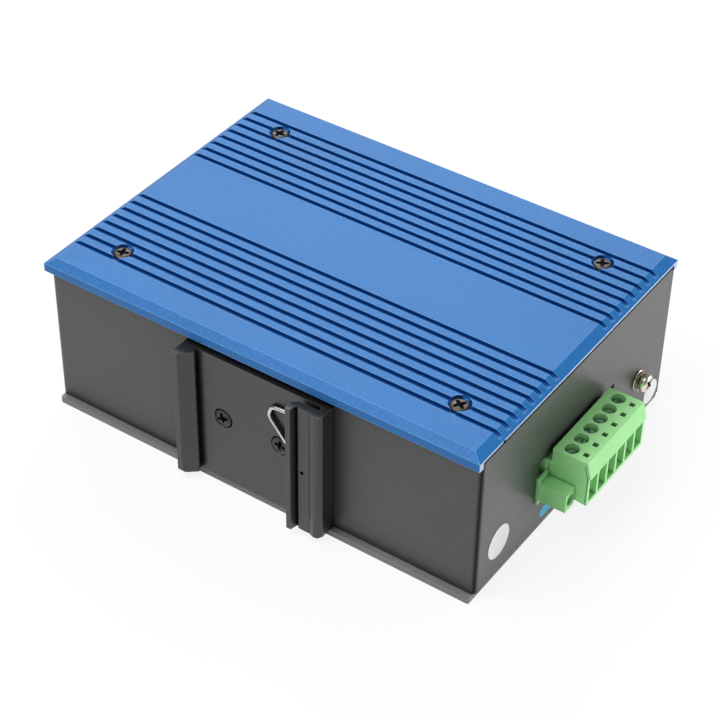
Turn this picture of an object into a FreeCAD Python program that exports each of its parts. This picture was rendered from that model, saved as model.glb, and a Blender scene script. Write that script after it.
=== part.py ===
import FreeCAD, Part
import math
import os

import Sketcher
from FreeCAD import Placement, Rotation, Vector

# Industrial network switch for a 35 mm mounting rail, lying on its base plate.
# X runs along the housing towards the power terminal, -Y is the rail side,
# +Y is the side with the data ports and Z points up through the finned cover.
# The origin is the middle of the underside of the base plate. All sizes in mm.

doc = FreeCAD.newDocument("rail_switch")
table = doc.addObject("Spreadsheet::Sheet", "Sizes")


class Val:
    """A number that also remembers how it follows from the sheet of sizes."""

    def __init__(self, number, text):
        self.number = number
        self.text = text

    def _join(self, other, sign, number, flip=False):
        word = other.text if isinstance(other, Val) else repr(float(other))
        first, second = (word, self.text) if flip else (self.text, word)
        return Val(number, "(" + first + " " + sign + " " + second + ")")

    def __add__(self, other):
        return self._join(other, "+", self.number + num(other))

    def __radd__(self, other):
        return self._join(other, "+", self.number + num(other), True)

    def __sub__(self, other):
        return self._join(other, "-", self.number - num(other))

    def __rsub__(self, other):
        return self._join(other, "-", num(other) - self.number, True)

    def __mul__(self, other):
        return self._join(other, "*", self.number * num(other))

    def __rmul__(self, other):
        return self._join(other, "*", self.number * num(other), True)

    def __truediv__(self, other):
        return self._join(other, "/", self.number / num(other))

    def __neg__(self):
        return Val(-self.number, "(0 - " + self.text + ")")


def num(value):
    return value.number if isinstance(value, Val) else float(value)


class Store:
    pass


size = Store()
row = [0]


def put(**values):
    """Write named sizes into the sheet and keep each as a Val."""
    for name, value in values.items():
        row[0] += 1
        table.set("A" + str(row[0]), name)
        table.set("B" + str(row[0]), str(value))
        table.setAlias("B" + str(row[0]), name)
        setattr(size, name, Val(float(value), "Sizes." + name))


def bind(obj, prop, value):
    if isinstance(value, Val):
        obj.setExpression(prop, value.text)
    elif prop.startswith("Placement.Base."):
        base = Vector(obj.Placement.Base)
        setattr(base, prop[-1], float(value))
        obj.Placement = Placement(base, obj.Placement.Rotation)
    else:
        setattr(obj, prop, float(value))


# Sizes of the finned cover
put(cover_len=145, cover_wid=106, cover_top=53, rim_top=51.2, plate_under=50.6)
put(lip_bottom=48.6, lip_thick=1.9, bevel_side=2.3, bevel_end=3.0)
put(groove_wid=1.7, groove_deep=1.25, groove_pitch=4.05, groove_first=11.5)
put(post_x=56.5, post_y=37.45, cbore_rad=3.3, cbore_deep=1.5, clear_rad=1.7)

# Sizes of the case
put(base_len=143, base_wid=105.3, base_thick=2.1, base_round=0.5)
put(case_len=144.4, case_back=50.8, case_front=51.0, sheet=1.5, case_top=50.1)
put(case_bend=1.6, tab_deep=9, tab_wid=14, panel_thick=1.5, frame_thick=0.5)
put(case_screw_x=64, case_screw_y=0, face_screw_x=40, face_screw_y=46.5)

# Sizes of the rail bracket
put(bracket_low=2.15, bracket_high=46, bracket_face=53.0, bracket_left=23.0)
put(bracket_right=26.2, hook_out=4.9, lip_out=5.8, rail_gap=1.2, slot_gap=1.6, wire_rad=0.6)
put(bracket_screw_x=9.8, bracket_screw_z=25.0, peep_z=23.5)

# Sizes of the circuit board and what stands on it
put(board_low=11.4, board_thick=1.6, board_len=138, board_back=47.5, board_front=49.0)
put(jack_pitch=13.97, jack_wid=57.2, jack_deep=23.0, jack_high=26.4, jack_mid=-21.5)
put(lamp_first=22.0, lamp_step=6.5, lamp_low=20.0, lamp_rise=5.5, guide_rad=0.95)

# Sizes of the power terminal
put(pole_pitch=5.08, plug_low=14.6, plug_high=29.7, plug_out=85.5, plug_wid=31.2)
put(term_y=0.4, flange_out=81.2, flange_wid=4.7, screw_line=77.6)
put(test_line=82.0, turn_gap=0.3, trough_back=60.0, clamp_rise=1.7)

# Sizes of the earth screw and the two round labels
put(earth_y=36.4, earth_z=18.0, seal_y=-39.7, seal_z=13.6, seal_rad=5.3)
put(mark_y=46.3, mark_z=6.6, mark_rad=4.0, film=0.12)
doc.recompute()

s = size
nodes = []
pole_y = [s.term_y + s.pole_pitch * (k - 2.5) for k in range(6)]


def keep(obj, label):
    obj.Label = label
    nodes.append(obj)
    return obj


def block(x, y, z, dx, dy, dz):
    """A box from its lowest corner and its three sides."""
    obj = doc.addObject("Part::Box", "Block")
    for prop, value in (("Length", dx), ("Width", dy), ("Height", dz)):
        bind(obj, prop, value)
    for prop, value in (("x", x), ("y", y), ("z", z)):
        bind(obj, "Placement.Base." + prop, value)
    return obj


TURN = {
    "z": Rotation(),
    "x": Rotation(Vector(0, 1, 0), 90),
    "-x": Rotation(Vector(0, 1, 0), -90),
    "-y": Rotation(Vector(1, 0, 0), 90),
    "y": Rotation(Vector(1, 0, 0), -90),
    "-z": Rotation(Vector(1, 0, 0), 180),
}


def rod(x, y, z, rad, long, way="z"):
    """A round rod from the middle of its first end, along one axis."""
    obj = doc.addObject("Part::Cylinder", "Rod")
    bind(obj, "Radius", rad)
    bind(obj, "Height", long)
    obj.Placement = Placement(Vector(), TURN[way])
    for prop, value in (("x", x), ("y", y), ("z", z)):
        bind(obj, "Placement.Base." + prop, value)
    return obj


def taper(x, y, z, rad, end_rad, long, way="z"):
    """A cone from the middle of its first end, along one axis."""
    obj = doc.addObject("Part::Cone", "Taper")
    bind(obj, "Radius1", rad)
    bind(obj, "Radius2", end_rad)
    bind(obj, "Height", long)
    obj.Placement = Placement(Vector(), TURN[way])
    for prop, value in (("x", x), ("y", y), ("z", z)):
        bind(obj, "Placement.Base." + prop, value)
    return obj


def hexagon(x, y, z, across, high, way="z"):
    """A six-sided bar, given by its width across the flats."""
    obj = doc.addObject("Part::Prism", "Hexagon")
    obj.Polygon = 6
    bind(obj, "Circumradius", across / math.sqrt(3.0))
    bind(obj, "Height", high)
    obj.Placement = Placement(Vector(), TURN[way])
    for prop, value in (("x", x), ("y", y), ("z", z)):
        bind(obj, "Placement.Base." + prop, value)
    return obj


def join(parts):
    obj = doc.addObject("Part::MultiFuse", "Join")
    obj.Shapes = parts
    return obj


def less(base, tools):
    obj = doc.addObject("Part::Cut", "Less")
    obj.Base = base
    obj.Tool = tools if not isinstance(tools, list) else join(tools)
    return obj


def less_one(base, tool):
    obj = doc.addObject("Part::Cut", "Less")
    obj.Base = base
    obj.Tool = tool
    return obj


def group(parts):
    obj = doc.addObject("Part::Compound", "Group")
    obj.Links = parts
    return obj


def new_body():
    return doc.addObject("PartDesign::Body", "Body")


def plane(body, role):
    for item in body.Origin.OriginFeatures:
        if item.Role == role:
            return item
    raise ValueError(role)


def sketch_on(body, role, shift=0.0):
    """A sketch on one of the body's own origin planes, moved along its normal."""
    sketch = body.newObject("Sketcher::SketchObject", "Outline")
    sketch.AttachmentSupport = [(plane(body, role), "")]
    sketch.MapMode = "FlatFace"
    sketch.AttachmentOffset = Placement(Vector(0, 0, num(shift)), Rotation())
    if isinstance(shift, Val):
        sketch.setExpression("AttachmentOffset.Base.z", shift.text)
    return sketch


def pin_point(sketch, geo, pos, x, y):
    for kind, value in (("DistanceX", x), ("DistanceY", y)):
        index = sketch.addConstraint(Sketcher.Constraint(kind, -1, 1, geo, pos, num(value)))
        if isinstance(value, Val):
            sketch.setExpression("Constraints[" + str(index) + "]", value.text)


def outline(sketch, points):
    """A closed outline through points, each held at its own two distances."""
    first = sketch.GeometryCount
    count = len(points)
    for k in range(count):
        a = points[k]
        b = points[(k + 1) % count]
        line = Part.LineSegment(Vector(num(a[0]), num(a[1]), 0), Vector(num(b[0]), num(b[1]), 0))
        sketch.addGeometry(line, False)
    for k in range(count):
        after = first + (k + 1) % count
        sketch.addConstraint(Sketcher.Constraint("Coincident", first + k, 2, after, 1))
    for k in range(count):
        pin_point(sketch, first + k, 1, points[k][0], points[k][1])


def ring(sketch, x, y, rad):
    geo = sketch.addGeometry(Part.Circle(Vector(num(x), num(y), 0), Vector(0, 0, 1), num(rad)), False)
    pin_point(sketch, geo, 3, x, y)
    index = sketch.addConstraint(Sketcher.Constraint("Radius", geo, num(rad)))
    if isinstance(rad, Val):
        sketch.setExpression("Constraints[" + str(index) + "]", rad.text)


def box_outline(sketch, left, low, right, high):
    outline(sketch, [(left, low), (right, low), (right, high), (left, high)])


def pad(body, sketch, long, reverse=False):
    feature = body.newObject("PartDesign::Pad", "Pad")
    feature.Profile = sketch
    feature.Reversed = reverse
    bind(feature, "Length", long)
    doc.recompute()
    return feature


def pocket(body, sketch, deep, reverse=False):
    before = body.Shape.Volume
    feature = body.newObject("PartDesign::Pocket", "Pocket")
    feature.Profile = sketch
    feature.Reversed = reverse
    bind(feature, "Length", deep)
    doc.recompute()
    if not body.Shape.Volume < before - 1e-6:
        raise ValueError("pocket cut nothing in " + body.Label)
    return feature


def round_edges(body, pick, rad):
    """Round the edges of the body's last feature that pick chooses."""
    base = body.Tip
    names = []
    for k, edge in enumerate(base.Shape.Edges):
        if pick(edge):
            names.append("Edge" + str(k + 1))
    feature = body.newObject("PartDesign::Fillet", "Round")
    feature.Base = (base, names)
    bind(feature, "Radius", rad)
    doc.recompute()
    return feature


def upright_at(x, y, near=0.2):
    def pick(edge):
        box = edge.BoundBox
        if box.ZLength < 5 or box.XLength > 0.01 or box.YLength > 0.01:
            return False
        return abs(abs(box.XMin) - x) < near and abs(box.YMin - y) < near

    return pick


# Finned cover: one aluminium extrusion along X. Its section has a flat top with
# bevelled sides and a short lip along each long side. The ends are bevelled too,
# and sixteen grooves run from end to end in two groups of eight.
half_len = s.cover_len / 2
half_wid = s.cover_wid / 2
cover = new_body()
section = sketch_on(cover, "YZ_Plane", -half_len)
outline(section, [
    (-half_wid, s.lip_bottom),
    (-half_wid + s.lip_thick, s.lip_bottom),
    (-half_wid + s.lip_thick, s.plate_under),
    (half_wid - s.lip_thick, s.plate_under),
    (half_wid - s.lip_thick, s.lip_bottom),
    (half_wid, s.lip_bottom),
    (half_wid, s.rim_top),
    (half_wid - s.bevel_side, s.cover_top),
    (-half_wid + s.bevel_side, s.cover_top),
    (-half_wid, s.rim_top),
])
pad(cover, section, s.cover_len)
ends = sketch_on(cover, "XZ_Plane", -half_wid)
for side in (-1, 1):
    outline(ends, [
        (half_len * side, s.rim_top),
        (half_len * side + 1.0 * side, s.rim_top),
        (half_len * side + 1.0 * side, s.cover_top + 1),
        ((half_len - s.bevel_end) * side, s.cover_top + 1),
        ((half_len - s.bevel_end) * side, s.cover_top),
    ])
pocket(cover, ends, s.cover_wid, True)
grooves = sketch_on(cover, "YZ_Plane", -half_len)
for side in (-1, 1):
    for k in range(8):
        middle = (half_wid - s.groove_first - s.groove_pitch * k) * side
        box_outline(grooves, middle - s.groove_wid / 2, s.cover_top - s.groove_deep,
                    middle + s.groove_wid / 2, s.cover_top + 1)
pocket(cover, grooves, s.cover_len, True)
sinks = sketch_on(cover, "XY_Plane", s.cover_top)
holes = sketch_on(cover, "XY_Plane", s.cover_top)
for side_x in (-1, 1):
    for side_y in (-1, 1):
        ring(sinks, s.post_x * side_x, s.post_y * side_y, s.cbore_rad)
        ring(holes, s.post_x * side_x, s.post_y * side_y, s.clear_rad)
pocket(cover, sinks, s.cbore_deep)
pocket(cover, holes, s.cover_top - s.plate_under + 1)
seam = sketch_on(cover, "XY_Plane", s.plate_under)
box_outline(seam, half_len - 0.8, -half_wid + 11.2, half_len + 1, -half_wid + 12.4)
pocket(cover, seam, 0.5, True)
keep(cover, "heatsink_cover")


def cross_cut(x, y, z, way, big=1.0, deep=1.25):
    """Two tapering blades that make the recess of a cross-head screw."""
    blades = []
    for k in range(2):
        blade = doc.addObject("Part::Wedge", "Blade")
        half = 1.45 * big
        blade.Xmin, blade.Xmax = -half, half
        blade.X2min, blade.X2max = -half * 0.35, half * 0.35
        blade.Zmin, blade.Zmax = -0.3 * big, 0.3 * big
        blade.Z2min, blade.Z2max = -0.2 * big, 0.2 * big
        blade.Ymin, blade.Ymax = 0, deep
        lay = {"z": Rotation(Vector(1, 0, 0), -90), "-z": Rotation(Vector(1, 0, 0), 90),
               "-y": Rotation(Vector(0, 0, 1), 0), "x": Rotation(Vector(0, 0, 1), 90)}[way]
        spin = {"z": Vector(0, 0, 1), "-z": Vector(0, 0, 1),
                "-y": Vector(0, 1, 0), "x": Vector(1, 0, 0)}[way]
        turn = Rotation(spin, 45 + 90 * k)
        blade.Placement = Placement(Vector(), turn * lay)
        for prop, value in (("x", x), ("y", y), ("z", z)):
            bind(blade, "Placement.Base." + prop, value)
        blades.append(blade)
    return join(blades)


# Four dark cover screws with low round heads in the counterbores
cover_screws = []
head_seat = s.cover_top - s.cbore_deep
for side_x in (-1, 1):
    for side_y in (-1, 1):
        px = s.post_x * side_x
        py = s.post_y * side_y
        head = rod(px, py, head_seat, 2.65, 0.8)
        dome = taper(px, py, head_seat + 0.8, 2.65, 2.0, 0.4)
        shank = rod(px, py, head_seat - 9, 1.5, 9)
        solid = join([head, dome, shank])
        cover_screws.append(less_one(solid, cross_cut(px, py, head_seat + 1.21, "z", 1.3)))
keep(group(cover_screws), "cover_screws")

# Six-sided posts between the board and the cover, one under each cover screw
posts = []
short_posts = []
board_high = s.board_low + s.board_thick
for side_x in (-1, 1):
    for side_y in (-1, 1):
        px = s.post_x * side_x
        py = s.post_y * side_y
        bar = hexagon(px, py, board_high, 6.0, s.plate_under - board_high)
        top_hole = rod(px, py, head_seat - 10, 1.5, 12)
        low_hole = rod(px, py, board_high - 1, 1.5, 7)
        posts.append(less(bar, [top_hole, low_hole]))
        stub = hexagon(px, py, s.base_thick, 6.0, s.board_low - s.base_thick)
        stud = rod(px, py, s.board_low, 1.5, s.board_thick + 5)
        tap = rod(px, py, s.base_thick - 1, 1.5, 6)
        short_posts.append(less_one(join([stub, stud]), tap))
keep(group(posts), "cover_posts")
keep(group(short_posts), "board_posts")

# Base plate: black aluminium with rounded corners, proud of the back of the case
base = new_body()
floor_outline = sketch_on(base, "XY_Plane")
box_outline(floor_outline, -s.base_len / 2, -s.base_wid / 2, s.base_len / 2, s.base_wid / 2)
pad(base, floor_outline, s.base_thick)


def any_upright(edge):
    box = edge.BoundBox
    return box.ZLength > 1 and box.XLength < 0.01 and box.YLength < 0.01


round_edges(base, any_upright, s.base_round)
base_holes = sketch_on(base, "XY_Plane", s.base_thick)
screw_places = []
for side_x in (-1, 1):
    for side_y in (-1, 1):
        screw_places.append((s.post_x * side_x, s.post_y * side_y))
    screw_places.append((s.case_screw_x * side_x, s.case_screw_y))
    screw_places.append((s.face_screw_x * side_x, s.face_screw_y))
    screw_places.append((s.face_screw_x * side_x, -s.face_screw_y + 1.0))
for place in screw_places:
    ring(base_holes, place[0], place[1], s.clear_rad)
pocket(base, base_holes, s.base_thick)
sinks_low = [taper(place[0], place[1], -0.02, 3.05, 1.65, 1.72) for place in screw_places]
keep(less(base, sinks_low), "base_plate")

# Countersunk screws up through the base plate, into the posts and the case tabs
low_screws = []
for place in screw_places:
    head = taper(place[0], place[1], 0.12, 2.85, 1.5, 1.55)
    shank = rod(place[0], place[1], 0.12, 1.5, 5.6)
    cross = cross_cut(place[0], place[1], 0.1, "-z", 0.9)
    low_screws.append(less_one(join([head, shank]), cross))
keep(group(low_screws), "base_screws")

# Case: one folded steel sheet that makes the back and both ends
half_case = s.case_len / 2
case = new_body()
fold = sketch_on(case, "XY_Plane", s.base_thick)
outline(fold, [
    (-half_case, -s.case_back),
    (half_case, -s.case_back),
    (half_case, s.case_front),
    (half_case - s.sheet, s.case_front),
    (half_case - s.sheet, -s.case_back + s.sheet),
    (-half_case + s.sheet, -s.case_back + s.sheet),
    (-half_case + s.sheet, s.case_front),
    (-half_case, s.case_front),
])
pad(case, fold, s.case_top - s.base_thick)
round_edges(case, upright_at(s.case_len.number / 2, -s.case_back.number), s.case_bend)
tabs = sketch_on(case, "XY_Plane", s.base_thick)
for side_x in (-1, 1):
    edge_x = (half_case - s.sheet) * side_x
    deep_x = (half_case - s.sheet - s.tab_deep) * side_x
    outline(tabs, [(edge_x + 0.2 * side_x, s.case_screw_y - s.tab_wid / 2),
                   (edge_x + 0.2 * side_x, s.case_screw_y + s.tab_wid / 2),
                   (deep_x, s.case_screw_y + s.tab_wid / 2),
                   (deep_x, s.case_screw_y - s.tab_wid / 2)])
    low_y = -s.case_back + s.sheet
    middle = s.face_screw_x * side_x
    outline(tabs, [(middle - s.tab_wid / 2, low_y - 0.2), (middle + s.tab_wid / 2, low_y - 0.2),
                   (middle + s.tab_wid / 2, low_y + s.tab_deep),
                   (middle - s.tab_wid / 2, low_y + s.tab_deep)])
pad(case, tabs, s.sheet)
window = sketch_on(case, "YZ_Plane", half_case + 1)
term_low = s.term_y - s.plug_wid / 2
term_far = s.term_y + s.plug_wid / 2
box_outline(window, term_low - s.flange_wid - 0.35, s.plug_low - 1.2,
            term_far + s.flange_wid + 0.35, s.plug_low + 12.6)
ring(window, s.earth_y, s.earth_z, 1.6)
pocket(case, window, s.sheet + 1.5)
tapped = sketch_on(case, "XZ_Plane", s.case_back + 1)
for side_x in (-1, 1):
    ring(tapped, s.bracket_screw_x * side_x, s.bracket_screw_z, 1.5)
pocket(case, tapped, s.sheet + 1.5)
tab_holes = sketch_on(case, "XY_Plane", s.base_thick + s.sheet)
for side_x in (-1, 1):
    ring(tab_holes, s.case_screw_x * side_x, s.case_screw_y, 1.5)
    ring(tab_holes, s.face_screw_x * side_x, -s.face_screw_y + 1.0, 1.5)
pocket(case, tab_holes, s.sheet)
keep(case, "case_shell")

# Frame of conductive rubber that seals the cover on the case
frame_out = block(-half_case + 0.1, -s.case_back + 0.1, s.case_top,
                  s.case_len - 0.2, s.case_back + s.case_front - 0.1, s.frame_thick)
frame_in = block(-half_case + 3.2, -s.case_back + 3.2, s.case_top - 1,
                 s.case_len - 6.4, s.case_back + s.case_front - 5, s.frame_thick + 2)
keep(less_one(frame_out, frame_in), "seal_frame")

# Port panel with two folded feet, one opening for the jack block and round ones
# for the status lights
port = new_body()
face = sketch_on(port, "XZ_Plane", -s.case_front)
box_outline(face, -half_case + 0.3, s.base_thick, half_case - 0.3, s.lip_bottom - 0.2)
pad(port, face, s.panel_thick, True)
foot = sketch_on(port, "XY_Plane", s.base_thick)
for side in (-1, 1):
    middle = s.face_screw_x * side
    box_outline(foot, middle - s.tab_wid / 2, s.case_front - s.tab_deep,
                middle + s.tab_wid / 2, s.case_front + 0.3)
pad(port, foot, s.panel_thick)
openings = sketch_on(port, "XZ_Plane", -s.case_front - s.panel_thick - 1)
box_outline(openings, s.jack_mid - s.jack_wid / 2 - 0.25, board_high - 0.2,
            s.jack_mid + s.jack_wid / 2 + 0.25, board_high + s.jack_high + 0.25)
lamp_places = []
for column in range(5):
    for line in range(2):
        lamp_places.append((s.lamp_first + s.lamp_step * column,
                            s.lamp_low + s.lamp_rise * line))
for place in lamp_places:
    ring(openings, place[0], place[1], s.guide_rad + 0.1)
pocket(port, openings, s.panel_thick + 1.5, True)
foot_holes = sketch_on(port, "XY_Plane", s.base_thick + s.panel_thick)
for side in (-1, 1):
    ring(foot_holes, s.face_screw_x * side, s.face_screw_y, 1.5)
pocket(port, foot_holes, s.panel_thick)
keep(port, "port_panel")

# Rail bracket: a black extrusion along Z, screwed to the back of the case. At its
# left a wedge hook takes one edge of the rail, at its right the other edge slides
# into a deep slot where the wire spring pushes against it.
face_y = -s.bracket_face
bracket = new_body()
shape = sketch_on(bracket, "XY_Plane", s.bracket_low)
outline(shape, [
    (-s.bracket_left, -s.case_back),
    (-s.bracket_left, face_y - s.hook_out),
    (-s.bracket_left + 1.6, face_y - s.hook_out),
    (-s.bracket_left + 5.2, face_y - 1.85),
    (-s.bracket_left + 5.2, face_y - 1.35),
    (-s.bracket_left + 4.4, face_y - s.rail_gap),
    (-s.bracket_left + 4.4, face_y),
    (s.bracket_right - 2.4, face_y),
    (s.bracket_right - 2.4, face_y - s.slot_gap),
    (s.bracket_right - 8.9, face_y - s.slot_gap),
    (s.bracket_right - 10.4, face_y - s.slot_gap - 1.3),
    (s.bracket_right - 10.4, face_y - s.lip_out),
    (s.bracket_right - 8.9, face_y - s.lip_out),
    (s.bracket_right - 8.3, face_y - s.lip_out + 2.5),
    (s.bracket_right - 7.4, face_y - s.lip_out + 1.7),
    (s.bracket_right - 3.9, face_y - s.lip_out + 1.7),
    (s.bracket_right - 3.75, face_y - s.lip_out + 1.9),
    (s.bracket_right - 3.6, face_y - s.lip_out + 1.6),
    (s.bracket_right - 2.1, face_y - s.lip_out + 1.1),
    (s.bracket_right - 0.8, face_y - s.lip_out + 1.3),
    (s.bracket_right, face_y - s.lip_out + 2.7),
    (s.bracket_right, -s.case_back),
])
pad(bracket, shape, s.bracket_high - s.bracket_low)


def slot_end(edge):
    box = edge.BoundBox
    if box.ZLength < 5 or box.XLength > 0.01 or box.YLength > 0.01:
        return False
    at_x = abs(box.XMin - (s.bracket_right.number - 2.4)) < 0.05
    return at_x and -s.bracket_face.number - s.slot_gap.number - 0.05 < box.YMin < 0


def front_bulge(edge):
    box = edge.BoundBox
    if box.ZLength < 5 or box.XLength > 0.01 or box.YLength > 0.01:
        return False
    return box.XMin > s.bracket_right.number - 2.3 and box.YMin < -s.bracket_face.number - 2.5


round_edges(bracket, slot_end, 0.7)
round_edges(bracket, front_bulge, 0.6)


def foot_corner(edge):
    box = edge.BoundBox
    at_foot = box.ZLength < 0.01 and abs(box.ZMin - s.bracket_low.number) < 0.05
    front = -s.bracket_face.number - s.hook_out.number
    return at_foot and abs(box.YMin - front) < 0.02 and box.YLength < 0.01


round_edges(bracket, foot_corner, 1.0)
sink = [taper(s.bracket_screw_x * side, face_y - 0.02, s.bracket_screw_z, 3.3, 1.6, 1.82, "y")
        for side in (-1, 1)]
bore = [rod(s.bracket_screw_x * side, face_y - 1, s.bracket_screw_z, 1.6, 5, "y")
        for side in (-1, 1)]
peep = rod(s.bracket_right - 6.2, face_y - 6, s.peep_z, 0.65, 5, "y")
keep(less(bracket, sink + bore + [peep]), "rail_bracket")

# Two countersunk cross-head screws that hold the bracket on the case
bracket_screws = []
for side in (-1, 1):
    px = s.bracket_screw_x * side
    head = taper(px, face_y + 0.12, s.bracket_screw_z, 2.8, 1.5, 1.45, "y")
    dome = taper(px, face_y + 0.12, s.bracket_screw_z, 2.8, 2.1, 0.35, "-y")
    shank = rod(px, face_y + 0.12, s.bracket_screw_z, 1.5, 6.5, "y")
    cross = cross_cut(px, face_y - 0.24, s.bracket_screw_z, "-y", 1.3)
    bracket_screws.append(less_one(join([head, dome, shank]), cross))
keep(group(bracket_screws), "bracket_screws")

# Wire spring: bent from round steel wire in the plane of the rail slot. It bows
# out of the slot twice and its lower end hooks under the end of the extrusion.
wire_y = face_y - s.slot_gap / 2
right = s.bracket_right
wire_points = [
    (right - 3.6, s.bracket_high - 3.0),
    (right - 8.6, s.bracket_high - 6.2),
    (right - 18.4, s.bracket_high - 7.2),
    (right - 19.6, s.bracket_high - 10.6),
    (right - 5.4, s.bracket_high - 27.6),
    (right - 13.9, s.bracket_low + 6.6),
    (right - 8.4, s.bracket_low + 2.8),
    (right - 8.4, s.bracket_low - 0.75),
    (right - 4.4, s.bracket_low - 0.75),
]
path = doc.addObject("Sketcher::SketchObject", "WireLine")
path.Placement = Placement(Vector(0, 0, 0), TURN["-y"])
bind(path, "Placement.Base.y", wire_y)


def bent_line(sketch, points, bend):
    """An open line through points, with every corner turned into a small arc."""
    start = points[0]
    for k in range(1, len(points) - 1):
        here = points[k]
        to_back = points[k - 1] - here
        to_next = points[k + 1] - here
        half = to_back.getAngle(to_next) / 2
        reach = min(bend / math.tan(half), 0.45 * to_back.Length, 0.45 * to_next.Length)
        rad = reach * math.tan(half)
        first = here + to_back.normalize() * reach
        after = here + to_next.normalize() * reach
        centre = here + (to_back + to_next).normalize() * (rad / math.sin(half))
        middle = centre + (here - centre).normalize() * rad
        sketch.addGeometry(Part.LineSegment(start, first), False)
        sketch.addGeometry(Part.Arc(first, middle, after), False)
        start = after
    sketch.addGeometry(Part.LineSegment(start, points[-1]), False)
    for geo in range(sketch.GeometryCount):
        sketch.addConstraint(Sketcher.Constraint("Block", geo))


line_points = [Vector(num(p[0]), num(p[1]), 0) for p in wire_points]
bent_line(path, line_points, 1.5)
doc.recompute()
start_edge = path.Shape.Wires[0].OrderedEdges[0]
hoop = doc.addObject("Part::Circle", "WireSection")
bind(hoop, "Radius", s.wire_rad)
start_point = start_edge.valueAt(start_edge.FirstParameter)
start_way = start_edge.tangentAt(start_edge.FirstParameter)
hoop.Placement = Placement(start_point, Rotation(Vector(0, 0, 1), start_way))
spring = doc.addObject("Part::Sweep", "WireSpring")
spring.Sections = [hoop]
spring.Spine = (path, [])
spring.Solid = True
spring.Frenet = False
doc.recompute()
keep(spring, "rail_spring")

# Circuit board with its four post holes
board = new_body()
card = sketch_on(board, "XY_Plane", s.board_low)
box_outline(card, -s.board_len / 2, -s.board_back, s.board_len / 2, s.board_front)
pad(board, card, s.board_thick)
card_holes = sketch_on(board, "XY_Plane", board_high)
for side_x in (-1, 1):
    for side_y in (-1, 1):
        ring(card_holes, s.post_x * side_x, s.post_y * side_y, 1.6)
for y in pole_y:
    ring(card_holes, s.trough_back - 2.0, y, 0.8)
pocket(board, card_holes, s.board_thick)
keep(board, "circuit_board")

# Jack block of eight ports in two rows: plastic housing, metal shield and eight
# sprung contacts for each port. The latch side is down in the lower row and up in
# the upper row, so the contacts of both rows lie in the middle.
jack_front = s.case_front + s.panel_thick + 0.4
left = s.jack_mid - s.jack_wid / 2
back = jack_front - s.jack_deep
wall = 0.3
body_box = block(left + wall, back + wall, board_high, s.jack_wid - 2 * wall,
                 s.jack_deep - wall - 0.3, s.jack_high - wall)
cuts = []
contacts = []
mid_z = board_high + s.jack_high / 2
for column in range(4):
    port_x = s.jack_mid + s.jack_pitch * (column - 1.5)
    for side in (-1, 1):
        for wide, low, high, deep in ((11.8, 1.7, 9.6, 15.0), (6.2, 9.5, 11.2, 12.0),
                                      (4.0, 11.1, 12.2, 10.0)):
            low_z = mid_z + low if side > 0 else mid_z - high
            cuts.append(block(port_x - wide / 2, jack_front - deep, low_z, wide, deep + 1,
                              high - low))
        for pin in range(8):
            pin_x = port_x + 1.02 * (pin - 3.5) - 0.18
            bar_z = mid_z + 1.72 if side > 0 else mid_z - 2.02
            tip_z = mid_z + 1.72 if side > 0 else mid_z - 4.7
            bar = block(pin_x, jack_front - 14.9, bar_z, 0.36, 9.0, 0.3)
            tip = block(pin_x, jack_front - 14.9, tip_z, 0.36, 0.3, 2.98)
            contacts.append(join([bar, tip]))
keep(less(body_box, cuts), "jack_housing")
shell_box = block(left, back, board_high, s.jack_wid, s.jack_deep, s.jack_high)
shell_in = block(left + wall, back + wall, board_high - 1, s.jack_wid - 2 * wall,
                 s.jack_deep + 1, s.jack_high + 1 - wall)
keep(less_one(shell_box, shell_in), "jack_shield")
keep(group(contacts), "jack_contacts")

# Clear light guides from the board to the port panel, with a small lamp under each
guides = []
lamps = []
for k, place in enumerate(lamp_places):
    guide_back = s.case_front - 5.5 - 3.5 * (k % 2)
    tip = rod(place[0], s.case_front - 1.0, place[1], s.guide_rad, s.panel_thick + 1.25, "y")
    flat = block(place[0] - 0.8, guide_back, place[1] - 0.8, 1.6,
                 s.case_front - 0.5 - guide_back, 1.6)
    drop = block(place[0] - 0.8, guide_back, board_high + 1.4, 1.6, 1.6,
                 place[1] - board_high - 1.0)
    guides.append(join([tip, flat, drop]))
    lamps.append(block(place[0] - 0.8, guide_back, board_high, 1.6, 1.2, 1.2))
keep(group(guides), "light_guides")
keep(group(lamps), "status_lamps")

# Heat path: switch chip, soft pads and an aluminium block up to the cover
chip = join([block(-12, -12, board_high, 24, 24, 0.6),
             block(-10.5, -10.5, board_high + 0.6, 21, 21, 1.3)])
keep(chip, "switch_chip")
pad_low = block(-10, -10, board_high + 1.9, 20, 20, 0.8)
pad_high = block(-14, -14, s.plate_under - 0.8, 28, 28, 0.8)
keep(group([pad_low, pad_high]), "thermal_pads")
heat_foot = block(-10, -10, board_high + 2.7, 20, 20, 8)
heat_top = block(-14, -14, board_high + 10.7, 28, 28, s.plate_under - 0.8 - board_high - 10.7)
keep(join([heat_foot, heat_top]), "heat_block")

# Line transformers, one for each pair of ports, behind the jack block
transformers = []
for k in range(4):
    place_x = s.jack_mid + 16.4 * (k - 1.5)
    transformers.append(block(place_x - 7.6, 17.0, board_high, 15.2, 9.2, 5.8))
keep(group(transformers), "line_transformers")

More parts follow.
